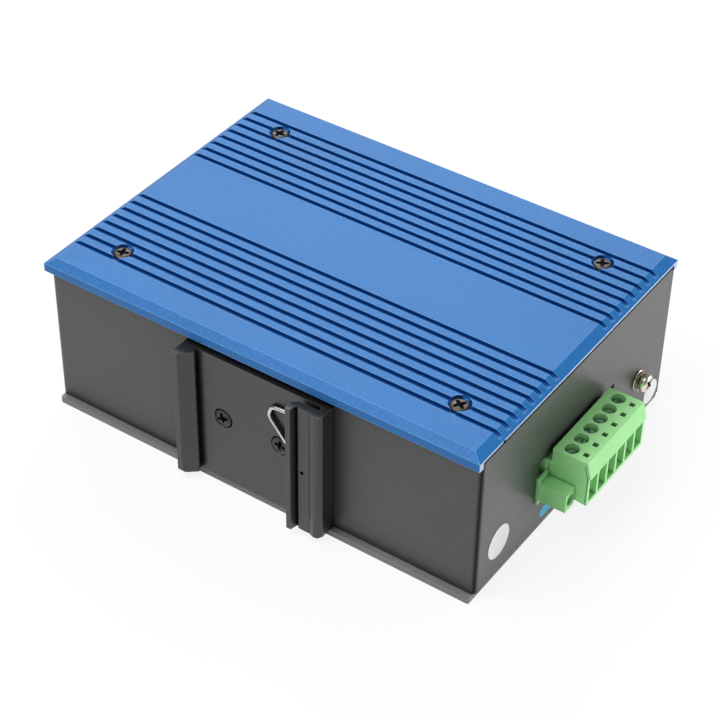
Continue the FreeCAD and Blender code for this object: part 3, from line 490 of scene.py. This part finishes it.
# %% Moulded plastics
def moulded(name, dark, light, rough_low, rough_high, inner=0.0, edge_highlight=None, hole_shade=1.0):
    highlight_width, shaft_reach = 0.0004, 0.0022
    finish, tree, shader, place = start_finish(name)
    grain = noise(tree, place, 2600.0, 3.0, 0.6)
    flow = noise(tree, stretch(tree, place, (1.0, 2.2, 1.0)), 90.0, 3.0)
    colour = ramp(tree, flow, [(0.3, dark), (0.7, light)])
    if edge_highlight:
        # Painted highlight: paler colour on the edges.
        edge = spread(tree, edge_mask(tree, highlight_width), 0.0, 0.6, 0.1, 0.9)
        colour = mix(tree, edge, colour, edge_highlight)
    if hole_shade < 1.0:
        # Painted shade in shafts, holes and mouths, from the depth mask.
        open_share = spread(tree, depth_mask(tree, shaft_reach), hole_shade, 1.0, 0.12, 0.72)
        colour = mix(tree, 1.0, colour, open_share, "MULTIPLY")
    tree.links.new(colour, shader.inputs["Base Color"])
    tree.links.new(spread(tree, grain, rough_low, rough_high), shader.inputs["Roughness"])
    if inner:
        shader.inputs["Subsurface Weight"].default_value = inner
        shader.inputs["Subsurface Radius"].default_value = (0.4, 1.0, 0.4)
        shader.inputs["Subsurface Scale"].default_value = 0.0012
    bump(tree, shader, [(grain, 0.00003)], 0.25)
    return finish


green = moulded("green_terminal", (0.315, 0.725, 0.270), (0.350, 0.780, 0.305), 0.36, 0.48,
                inner=0.04, edge_highlight=(0.54, 0.86, 0.51), hole_shade=0.26)
give(green, "terminal_header", "plug_housing")
print("finish:", green.name)

# %% [markdown]
# Behind the ports and under the cover are the other plastics: black housings, chip packages,
# ferrite, the lacquer of the board, lamp lenses, pads that carry heat, and the film of the two
# round labels. Soft rubber hardly shines at all, so its gloss is turned down.

# %% The other plastics
black_plastic = moulded("black_plastic", (0.018, 0.018, 0.019), (0.026, 0.026, 0.027), 0.40, 0.55)
chip_black = moulded("chip_package", (0.022, 0.022, 0.024), (0.030, 0.030, 0.032), 0.5, 0.65)
ferrite = moulded("ferrite", (0.035, 0.034, 0.034), (0.050, 0.049, 0.048), 0.55, 0.7)
board_green = moulded("solder_mask", (0.010, 0.090, 0.035), (0.014, 0.120, 0.048), 0.22, 0.32)
lamp = moulded("lamp_lens", (0.60, 0.70, 0.52), (0.70, 0.80, 0.60), 0.20, 0.30, inner=0.2)
rubber = moulded("seal_rubber", (0.006, 0.006, 0.006), (0.010, 0.010, 0.010), 0.75, 0.9)
rubber.node_tree.nodes["Principled BSDF"].inputs["Specular IOR Level"].default_value = 0.06
thermal = moulded("thermal_pad", (0.20, 0.24, 0.30), (0.26, 0.30, 0.36), 0.6, 0.75)
film = moulded("label_film", (0.66, 0.67, 0.68), (0.74, 0.75, 0.76), 0.42, 0.54)
give(black_plastic, "jack_housing", "alarm_relay")
give(chip_black, "switch_chip", "line_transformers", "small_chips")
give(ferrite, "power_coils")
give(board_green, "circuit_board")
give(lamp, "status_lamps")
give(rubber, "seal_frame")
give(thermal, "thermal_pads")
give(film, "round_label_near", "round_label_far")
print("plastic finishes: 9 with the green one")

# %% [markdown]
# Ten clear rods lead the light of the board's lamps to the port side. They are a clear plastic
# of refractive index 1.49, with faint flow marks and slightly dull ends.

# %% Clear light guides
def clear_moulding():
    finish, tree, shader, place = start_finish("clear_guide")
    flow = noise(tree, place, 300.0, 2.0)
    tint = ramp(tree, flow, [(0.3, (0.86, 0.92, 0.90)), (0.7, (0.94, 0.97, 0.96))])
    tree.links.new(tint, shader.inputs["Base Color"])
    shader.inputs["Transmission Weight"].default_value = 0.85
    shader.inputs["IOR"].default_value = 1.49
    tree.links.new(spread(tree, flow, 0.08, 0.2), shader.inputs["Roughness"])
    return finish


clear = clear_moulding()
give(clear, "light_guides")
print("finish:", clear.name)

# %% [markdown]
# Some parts are finer than a solid model wants to be: bent wire, turned heads, split washers,
# sprung contacts. They are built here as meshes in millimetres, put at the place of the solid
# that they stand for, and they move with the same body. This helper does the last steps for
# each of them: it welds the mesh, turns its faces outward, gives it a finish and smooths it
# between its sharp edges.

# %% From a mesh to a piece
MM = 0.001
SHARP = 38.0
SHARP_ON_SCREWS = 30.0


def add_piece(name, shape, finish, body, stands_for=(), smooth=SHARP):
    bmesh.ops.remove_doubles(shape, verts=shape.verts, dist=1e-7)
    bmesh.ops.recalc_face_normals(shape, faces=shape.faces)
    mesh = bpy.data.meshes.new(name)
    shape.to_mesh(mesh)
    shape.free()
    mesh.materials.append(finish)
    mesh.shade_smooth()
    mesh.set_sharp_from_angle(angle=math.radians(smooth))
    piece = bpy.data.objects.new(name, mesh)
    bpy.context.scene.collection.objects.link(piece)
    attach(piece, body)
    if stands_for:
        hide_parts(*stands_for)
    return piece


def skin(shape, first, second):
    """A band of faces between two closed loops with the same number of points."""
    for i in range(len(first)):
        j = (i + 1) % len(first)
        shape.faces.new((first[i], first[j], second[j], second[i]))


print("add_piece and skin are ready")

# %% [markdown]
# A screw starts as a turned profile with a thread. A real thread climbs, but on a thread this
# fine the climb can't be seen, so even rings do. The profile is a list of radius and height
# pairs from the tip of the screw to its head.

# %% Thread profile
def threaded(radius, depth, low, high, pitch):
    """Profile points of a thread from low to high: even ridges, cut depth deep."""
    points = []
    count = max(1, int(round((high - low) / pitch)))
    step = (high - low) / count
    for i in range(count):
        points.append((radius - depth, low + i * step))
        points.append((radius, low + (i + 0.5) * step))
    points.append((radius - depth, high))
    return points


print("ridges on 5 mm of thread:", (len(threaded(1.48, 0.22, 0.0, 5.0, 0.5)) - 1) // 2)

# %% [markdown]
# A cross-head screw is turned, and its recess is pressed in afterwards. The head is built the
# same way round: rings for the domed rim, a flat part whose outline on the inside is the cross,
# sloping walls down to a smaller cross, and the shank with its thread below.

# %% Cross-head screw
def cross_outline(reach, half):
    """A cross with blunt points: four arms, each half wide to either side."""
    point, corner = reach + half * 0.35, half * 1.25
    points = []
    for turn in range(4):
        cos, sin = math.cos(turn * math.pi / 2), math.sin(turn * math.pi / 2)
        for x, y in ((reach, -half), (point, 0.0), (reach, half), (corner, corner)):
            points.append((x * cos - y * sin, x * sin + y * cos))
    return points


def cross_head(shape, centre, along, across, rim, reach, half, deep, shank):
    """rim lists (radius, height) from the shank outwards, over the edge and up to the flat top."""
    steps, floor_share, tip_share = 48, 0.62, 1.25
    along, across, centre = Vector(along), Vector(across).normalized(), Vector(centre)
    third = along.cross(across)

    def at(x, y, z):
        return shape.verts.new((centre + across * x + third * y + along * z) * MM)

    rings = []
    for far, high in shank + rim:
        rings.append([at(far * math.cos(math.tau * i / steps),
                         far * math.sin(math.tau * i / steps), high) for i in range(steps)])
    for first, second in zip(rings, rings[1:]):
        skin(shape, first, second)
    shape.faces.new(rings[0][::-1])
    top = rim[-1][1]
    upper = [at(x, y, top) for x, y in cross_outline(reach, half)]
    lower = [at(x * floor_share, y * floor_share, top - deep)
             for x, y in cross_outline(reach, half)]
    tip = at(0.0, 0.0, top - deep * tip_share)
    count = len(upper)
    edges = [shape.edges.get((rings[-1][i], rings[-1][(i + 1) % steps])) for i in range(steps)]
    edges += [shape.edges.new((upper[i], upper[(i + 1) % count])) for i in range(count)]
    bmesh.ops.triangle_fill(shape, edges=edges, use_beauty=True)
    # The walls and floor of the cross take the piece's second finish, a dark colour that is a
    # painted shade.
    for i in range(count):
        j = (i + 1) % count
        shape.faces.new((upper[i], upper[j], lower[j], lower[i])).material_index = 1
        shape.faces.new((lower[i], lower[j], tip)).material_index = 1


print("points on a cross:", len(cross_outline(1.8, 0.5)))

# %% [markdown]
# Nobody lines up the crosses of a set of screws, so each one in a set is turned a good way
# further than the last. The walls of the cross are marked when they are made and get the
# second finish of the piece, a near black that is a painted shade.

# %% Sets of screws
def screw_set(name, finish, places, along, across, rim, reach, half, deep, shank, node):
    first_turn, turn_step = 0.35, 1.1
    shape = bmesh.new()
    for number, place in enumerate(places):
        turn = first_turn + turn_step * number
        way = Vector(across)
        way.rotate(Matrix.Rotation(turn, 3, Vector(along)))
        cross_head(shape, place, along, way, rim, reach, half, deep, shank)
    piece = add_piece(name, shape, finish, "body", (node,), SHARP_ON_SCREWS)
    # The second finish is near black: painted shade inside each cross.
    piece.data.materials.append(recess_shade_black)
    print(name, "faces:", len(piece.data.polygons))


# The shank ends this far inside the tip of the solid that it stands for.
TIP_ROOM = 0.05
seat = 51.5
screw_x, screw_y = 56.5, 37.45
cover_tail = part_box("cover_screws")[0].z / MM - seat + TIP_ROOM
screw_set("cover_screw_heads", burnished,
          [(sx * screw_x, sy * screw_y, seat) for sx in (-1, 1) for sy in (-1, 1)],
          (0, 0, 1), (1, 0, 0),
          rim=[(2.52, 0.0), (2.63, 0.10), (2.65, 0.55), (2.56, 0.80), (2.32, 1.02), (2.02, 1.14)],
          reach=1.80, half=0.50, deep=1.3,
          shank=threaded(1.48, 0.22, cover_tail, -0.6, 0.5) + [(1.48, -0.3), (1.48, 0.0)],
          node="cover_screws")

# %% [markdown]
# The two screws of the rail bracket are countersunk and stand only a fifth of a millimetre out
# of its face. They point along Y, so the same recipe is used with another direction.

# %% Bracket screws
face = -53.0
bracket_screw_x, bracket_screw_z = 9.8, 25.0
bracket_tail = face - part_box("bracket_screws")[1].y / MM + TIP_ROOM
screw_set("bracket_screw_heads", blackened,
          [(sx * bracket_screw_x, face, bracket_screw_z) for sx in (-1, 1)],
          (0, -1, 0), (1, 0, 0),
          rim=[(2.60, -0.32), (2.74, -0.16), (2.72, -0.06), (2.46, 0.08), (2.10, 0.18),
               (2.0, 0.215)],
          reach=1.76, half=0.50, deep=1.3,
          shank=threaded(1.48, 0.22, bracket_tail, -1.9, 0.5) + [(1.48, -1.6)],
          node="bracket_screws")

# %% [markdown]
# Wires, strips and beads are all one closed section carried along a line. Where the line turns,
# the section turns with it and keeps its first side as level as it can. A corner in the line is
# first swapped for a small curve, because nothing bends at a point.

# %% Carrying a section along a line
def rounded_path(points, bend, steps=6):
    """The same line with each corner swapped for a small curve."""
    path = [Vector(points[0])]
    for before, corner, after in zip(points, points[1:], points[2:]):
        corner = Vector(corner)
        into = Vector(before) - corner
        out = Vector(after) - corner
        cut = min(bend, into.length * 0.48, out.length * 0.48)
        start = corner + into.normalized() * cut
        end = corner + out.normalized() * cut
        for i in range(steps + 1):
            t = i / steps
            path.append(start * (1 - t) ** 2 + corner * (2 * t * (1 - t)) + end * t ** 2)
    path.append(Vector(points[-1]))
    return path


def sweep(shape, path, section, side):
    """Carries a closed section along a path and caps both ends; side is the section's first way."""
    side = Vector(side)
    rings = []
    for i, point in enumerate(path):
        ahead = (path[min(i + 1, len(path) - 1)] - path[max(i - 1, 0)]).normalized()
        side = (side - ahead * side.dot(ahead)).normalized()
        rise = ahead.cross(side)
        rings.append([shape.verts.new((point + side * a + rise * b) * MM) for a, b in section])
    for first, second in zip(rings, rings[1:]):
        skin(shape, first, second)
    shape.faces.new(rings[0][::-1])
    shape.faces.new(rings[-1])


def circle(radius, count):
    return [(radius * math.cos(math.tau * i / count), radius * math.sin(math.tau * i / count))
            for i in range(count)]


print("rounded_path, sweep and circle are ready")

# %% [markdown]
# The rail spring is one piece of bright wire, bent in a flat zigzag. It hooks round the slot of
# the bracket and its long arm pushes on the rail. A round section carried along the bent line
# gives it, with the same bend at each corner that a bending tool would leave.

# %% Rail spring
wire_radius = 0.6
wire_bend = 1.5
wire_plane = -53.8
wire_line = [(22.6, 43.0), (17.6, 39.8), (7.8, 38.8), (6.6, 35.4), (20.8, 18.4), (12.3, 8.75),
             (17.8, 4.95), (17.8, 1.4), (21.8, 1.4)]
shape = bmesh.new()
sweep(shape, rounded_path([(x, wire_plane, z) for x, z in wire_line], wire_bend),
      circle(wire_radius, 16), (0, 1, 0))
add_piece("rail_spring_wire", shape, spring_steel, "body", ("rail_spring",))
print("spring wire bends:", len(wire_line) - 2)

# %% [markdown]
# The earth screw holds a ring terminal. Under its head sit a split washer, whose cut ends stand
# apart, and a flat washer. The flat one is a turned ring. A turned profile can't have the cut,
# so the split washer is a square section carried round almost a full turn while it climbs a
# little.

# %% Washers of the earth screw
def turned(shape, profile, centre, along, steps):
    """Turns a closed profile of (radius, height) points about an axis through the centre."""
    along = Vector(along)
    across = along.orthogonal().normalized()
    third = along.cross(across)
    loops = []
    for i in range(steps):
        angle = math.tau * i / steps
        out = across * math.cos(angle) + third * math.sin(angle)
        loops.append([shape.verts.new((Vector(centre) + along * high + out * far) * MM)
                      for far, high in profile])
    count = len(profile)
    for first, second in zip(loops, loops[1:] + loops[:1]):
        for i in range(count):
            j = (i + 1) % count
            if profile[i][0] > 0 or profile[j][0] > 0:
                shape.faces.new((first[i], first[j], second[j], second[i]))


earth_y, earth_z, end_face = 36.4, 18.0, 72.2
flat_washer = [(1.65, 0.0), (3.05, 0.0), (3.2, 0.12), (3.2, 0.42), (3.05, 0.56), (1.65, 0.56)]
coil_radius, coil_start, coil_turns, coil_steps = 2.35, 0.9, 0.955, 60
coil_low, coil_climb = 0.94, 0.24
shape = bmesh.new()
turned(shape, flat_washer, (end_face, earth_y, earth_z), (1, 0, 0), 56)
coil = []
for i in range(coil_steps + 1):
    angle = coil_start + math.tau * coil_turns * i / coil_steps
    coil.append(Vector((end_face + coil_low + coil_climb * i / coil_steps,
                        earth_y + coil_radius * math.cos(angle),
                        earth_z + coil_radius * math.sin(angle))))
sweep(shape, coil, [(-0.28, -0.7), (0.28, -0.7), (0.32, 0.7), (-0.32, 0.7)], (1, 0, 0))
add_piece("earth_washer_stack", shape, nickel, "body", ("earth_washers",))
print("washers: 2, the split one opens over", round(360 * (1 - coil_turns)), "degrees")

# %% [markdown]
# The head of the earth screw is a tall dome with a cross in it. It sits 1.6 mm off the case, on
# the two washers.

# %% Earth screw
earth_seat = 1.6
earth_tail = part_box("earth_screw")[0].x / MM - end_face - earth_seat + TIP_ROOM
shape = bmesh.new()
cross_head(shape, (end_face + earth_seat, earth_y, earth_z), (1, 0, 0), (0, 0.8, 0.6),
           rim=[(2.66, 0.0), (2.82, 0.14), (2.84, 1.15), (2.76, 1.55), (2.50, 1.98), (2.08, 2.24)],
           reach=1.66, half=0.40, deep=1.4,
           shank=threaded(1.48, 0.24, earth_tail, -0.4, 0.5) + [(1.48, 0.0)])
earth = add_piece("earth_screw_turned", shape, nickel, "body", ("earth_screw",),
                  SHARP_ON_SCREWS)
# The cross takes the dark burnished finish: a painted shade inside it.
earth.data.materials.append(burnished)
print("earth screw faces:", len(earth.data.polygons))

# %% [markdown]
# The six clamp screws sit deep in round shafts, so mostly their slotted tops are seen. A slot
# cuts the head into two half moons. They are drawn as outlines and pushed up from the slot's
# floor, with a small chamfer at the top.

# %% Half of a slotted head
def half_moon(shape, centre, radius, half_slot, low, high, sign, turn):
    chamfer, top_share, arc_steps = 0.1, 0.95, 16
    first = math.asin(half_slot / radius)
    outline = []
    for i in range(arc_steps + 1):
        angle = first + (math.pi - 2 * first) * i / arc_steps
        outline.append((radius * math.cos(angle), radius * math.sin(angle) * sign))
    cos, sin = math.cos(turn), math.sin(turn)
    rings = []
    for z, grow in ((low, 1.0), (high - chamfer, 1.0), (high, top_share)):
        ring = []
        for x, y in outline:
            x_in = x * grow
            y_in = max(abs(y) * grow, half_slot) * sign
            ring.append(shape.verts.new(((centre[0] + x_in * cos - y_in * sin) * MM,
                                         (centre[1] + x_in * sin + y_in * cos) * MM,
                                         z * MM)))
        rings.append(ring)
    for lower, upper in zip(rings, rings[1:]):
        skin(shape, lower, upper)
    shape.faces.new(rings[0][::-1])
    shape.faces.new(rings[-1])


print("half_moon is ready")

# %% [markdown]
# Each clamp screw is a turned body with a thread, and two half moons on it. It takes its place
# and its length from the solid that it stands for, and rides with its own screw, so that it
# turns when the clamp is closed. Its slot stands at a different angle from its neighbours'.

# %% Clamp screws
head_radius, collar_radius, thread_radius = 1.84, 1.78, 1.34
head_height, slot_depth, half_slot = 1.7, 0.8, 0.25
for k in range(1, clamp_count + 1):
    low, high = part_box("clamp_screw_%d" % k)
    middle = ((low.x + high.x) / 2 / MM, (low.y + high.y) / 2 / MM)
    top, foot = high.z / MM, low.z / MM
    neck = top - head_height
    shape = bmesh.new()
    turned(shape, [(0.0, foot)] + threaded(thread_radius, 0.2, foot, neck - 0.1, 0.5)
           + [(thread_radius, neck), (collar_radius, neck), (head_radius, neck + 0.1),
              (head_radius, top - slot_depth), (0.0, top - slot_depth)],
           (middle[0], middle[1], 0.0), (0, 0, 1), 32)
    for sign in (-1, 1):
        half_moon(shape, middle, head_radius, half_slot, top - slot_depth - 0.01, top, sign,
                  0.4 + 0.7 * k)
    add_piece("clamp_screw_turned_%d" % k, shape, screw_zinc, "screw_%d" % k,
              ("clamp_screw_%d" % k,))
print("clamp screws:", clamp_count)

# %% [markdown]
# In each port eight gilded wires come out of a comb, lean towards the opening and end in a
# small hook. They are strips of spring metal 0.36 mm wide, so a flat section is carried along
# a bent line. In the lower row the whole fan is turned over.

# %% Port contacts
mouth = 52.9
row_middle = 26.2
block_middle, port_pitch, pin_pitch = -21.5, 13.97, 1.02
strip = [(-0.18, -0.1), (0.18, -0.1), (0.18, 0.1), (-0.18, 0.1)]
fan = [(-14.8, 1.75), (-6.6, 1.75), (-5.6, 2.3), (-11.6, 4.55), (-12.6, 4.3)]
shape = bmesh.new()
wires = 0
for column in range(4):
    port_x = block_middle + port_pitch * (column - 1.5)
    for side in (-1, 1):
        for pin in range(8):
            pin_x = port_x + pin_pitch * (pin - 3.5)
            line = [(pin_x, mouth + y, row_middle + side * z) for y, z in fan]
            sweep(shape, rounded_path(line, 0.5, 3), strip, (1, 0, 0))
            wires += 1
fans = add_piece("port_contact_fans", shape, gold, "body", ("jack_contacts",))
print("contact wires:", wires, "faces:", len(fans.data.polygons))

# %% [markdown]
# The cover is pressed down on a soft seal. At both ends a thin black bead of its rubber lies
# along the joint over the rim of the case. It is a painted shade: a dark piece that stands in for
# the shaded gap under the cover and draws the fine black line between the blue cover and the
# case. A small half-round section carried along each end gives it.

# %% Dark beads along the joint: painted shade
bead_x, bead_z = 72.18, 50.34
bead_stations = (-50.2, -25.0, 0.0, 25.0, 50.2)
bead_section = [(-0.85, 0.0), (-0.82, 0.12), (-0.66, 0.22), (-0.20, 0.26), (0.06, 0.25), (0.20, 0.14),
         (0.24, 0.0), (0.24, -0.2), (-0.20, -0.2), (-0.22, 0.0)]
shape = bmesh.new()
for end in (-1, 1):
    along = [Vector((end * bead_x, end * y, bead_z)) for y in bead_stations]
    sweep(shape, along, bead_section, (0, 0, 1))
bead = add_piece("joint_shade_beads", shape, rubber, "body")
low, high = bead.bound_box[0], bead.bound_box[6]
print("seal beads reach x in mm:", round(low[0] / MM, 2), round(high[0] / MM, 2))

# %% [markdown]
# A light blue mark is printed on the terminal end below the plug. It is a plain pill of ink, a
# fiftieth of a millimetre thick, drawn as an outline with two round ends.

# %% Printed mark
ink = moulded("light_blue_ink", (0.030, 0.300, 0.480), (0.036, 0.335, 0.520), 0.45, 0.6)
pill_radius, pill_z, ink_depth = 1.9, 5.9, 0.02
near_plug, far_end, arc_steps = -5.2, -15.4, 12
outline = []
for centre_y, first in ((near_plug, -math.pi / 2), (far_end, math.pi / 2)):
    for i in range(arc_steps + 1):
        angle = first + math.pi * i / arc_steps
        outline.append((centre_y + pill_radius * math.cos(angle),
                        pill_z + pill_radius * math.sin(angle)))
shape = bmesh.new()
rings = [[shape.verts.new((x * MM, y * MM, z * MM)) for y, z in outline]
         for x in (end_face, end_face + ink_depth)]
skin(shape, rings[0], rings[1])
shape.faces.new(rings[0][::-1])
shape.faces.new(rings[1])
add_piece("printed_pill", shape, ink, "body")
print("points round the mark:", len(outline))

# %% [markdown]
# Sheet metal, extrusions and mouldings never have knife edges. A bevel modifier a fifth of a
# millimetre wide gives each sharp edge the thin line of light that makes metal read as metal.
# It only cuts inwards, so the overall size stays the same.

# %% Small rounded edges
edge_widths = {"heatsink_cover": 0.26, "base_plate": 0.18, "rail_bracket": 0.22,
               "plug_housing": 0.16, "terminal_header": 0.16, "case_shell": 0.30}
bevel_steps, bevel_above = 2, 28
for name, width in edge_widths.items():
    soften = nodes[name].modifiers.new("rounded_edges", "BEVEL")
    soften.width = width * MM
    soften.segments = bevel_steps
    soften.limit_method = "ANGLE"
    soften.angle_limit = math.radians(bevel_above)
    soften.use_clamp_overlap = True
print("solids with rounded edges:", len(edge_widths))

# %% [markdown]
# A studio picture wants a white ground that doesn't flood the object with light. The renderer
# knows what kind each ray is, so a surface can look one way to the camera and give another
# light to the object. This helper picks the kinds of ray that see the white.

# %% Kinds of ray
def seen_rays(tree, others=()):
    """1 for what the camera sees straight, and for the other kinds of ray that are named."""
    path = tree.nodes.new("ShaderNodeLightPath")
    total = path.outputs["Is Camera Ray"]
    for more in others:
        node = tree.nodes.new("ShaderNodeMath")
        node.operation = "MAXIMUM"
        tree.links.new(total, node.inputs[0])
        tree.links.new(path.outputs[more], node.inputs[1])
        total = node.outputs[0]
    return total


print("seen_rays is ready")

# %% [markdown]
# The object lies on a plain pale floor. The floor looks white because a part of its light is
# added for the rays that the camera sees, straight, in a gloss or through clear plastic. The
# rest of it is matte paper, which still takes the shadow of the object.

# %% Floor
floor_reach = 6.0
floor_drop = 0.00005
paper_white = 0.86
floor_mesh = bpy.data.meshes.new("floor")
floor_mesh.from_pydata([(x * floor_reach, y * floor_reach, 0)
                        for x, y in ((-1, -1), (1, -1), (1, 1), (-1, 1))], [], [(0, 1, 2, 3)])
floor = bpy.data.objects.new("floor", floor_mesh)
floor.location.z = -floor_drop
bpy.context.scene.collection.objects.link(floor)
floor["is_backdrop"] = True

paper = bpy.data.materials.new("studio_paper")
paper.use_nodes = True
tree = paper.node_tree
tree.nodes.clear()
out = tree.nodes.new("ShaderNodeOutputMaterial")
matte = tree.nodes.new("ShaderNodeBsdfDiffuse")
matte.inputs["Color"].default_value = (paper_white, paper_white, paper_white, 1.0)
glow = tree.nodes.new("ShaderNodeEmission")
glow.inputs["Strength"].default_value = 1.0
choose = tree.nodes.new("ShaderNodeMixShader")
share = times(tree, seen_rays(tree, ("Is Glossy Ray", "Is Transmission Ray")), paper_white)
tree.links.new(share, choose.inputs[0])
tree.links.new(matte.outputs[0], choose.inputs[1])
tree.links.new(glow.outputs[0], choose.inputs[2])
tree.links.new(choose.outputs[0], out.inputs["Surface"])
floor_mesh.materials.append(paper)
print("floor is", 2 * floor_reach, "m wide")

# %% [markdown]
# Behind the floor lies a white room. Only the camera sees it as white. For everything else it
# gives a low, slightly cool light, so that the glossy faces are shaped by the lamps and the
# floor and stay deep in colour where they mirror neither.

# %% World
room_light = 0.30
world = bpy.data.worlds.new("studio")
bpy.context.scene.world = world
world.use_nodes = True
tree = world.node_tree
tree.nodes.clear()
out = tree.nodes.new("ShaderNodeOutputWorld")
lit = tree.nodes.new("ShaderNodeBackground")
lit.inputs["Color"].default_value = (0.94, 0.96, 1.0, 1.0)
lit.inputs["Strength"].default_value = room_light
seen = tree.nodes.new("ShaderNodeBackground")
seen.inputs["Color"].default_value = (1.0, 1.0, 1.0, 1.0)
choose = tree.nodes.new("ShaderNodeMixShader")
tree.links.new(seen_rays(tree), choose.inputs[0])
tree.links.new(lit.outputs[0], choose.inputs[1])
tree.links.new(seen.outputs[0], choose.inputs[2])
tree.links.new(choose.outputs[0], out.inputs["Surface"])
print("room light:", room_light)

# %% [markdown]
# Four large soft lamps light the object. The key stands behind the port side and is mirrored
# in the broad top, which makes it pale. The front lamp hangs almost overhead. The other two
# lift the rail side and the terminal end a little.

# %% Lamps
def soft_lamp(name, place, aim, size, power):
    light = bpy.data.lights.new(name, "AREA")
    light.shape = "RECTANGLE"
    light.size, light.size_y = size
    light.energy = power
    holder = bpy.data.objects.new(name, light)
    holder.location = place
    holder.rotation_euler = (Vector(aim) - Vector(place)).to_track_quat("-Z", "Y").to_euler()
    bpy.context.scene.collection.objects.link(holder)


soft_lamp("key_box", (-0.50, 0.74, 0.76), (0.0, 0.0, 0.03), (0.9, 0.7), 7.1)
soft_lamp("front_box", (-0.16, -0.34, 1.04), (0.0, 0.0, 0.03), (0.7, 0.7), 7.1)
soft_lamp("rail_box", (-0.38, -0.44, 0.80), (0.0, -0.05, 0.04), (0.6, 0.4), 2.2)
soft_lamp("end_box", (0.50, 0.42, 0.09), (0.07, 0.04, 0.03), (0.40, 0.16), 2.8)
print("lamps:", len(bpy.data.lights))

# %% [markdown]
# The last step prints the size of the dressed model.

# %% Size of the dressed model
low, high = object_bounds()
print("dressed size in mm:", [round(v * 1000, 2) for v in high - low])
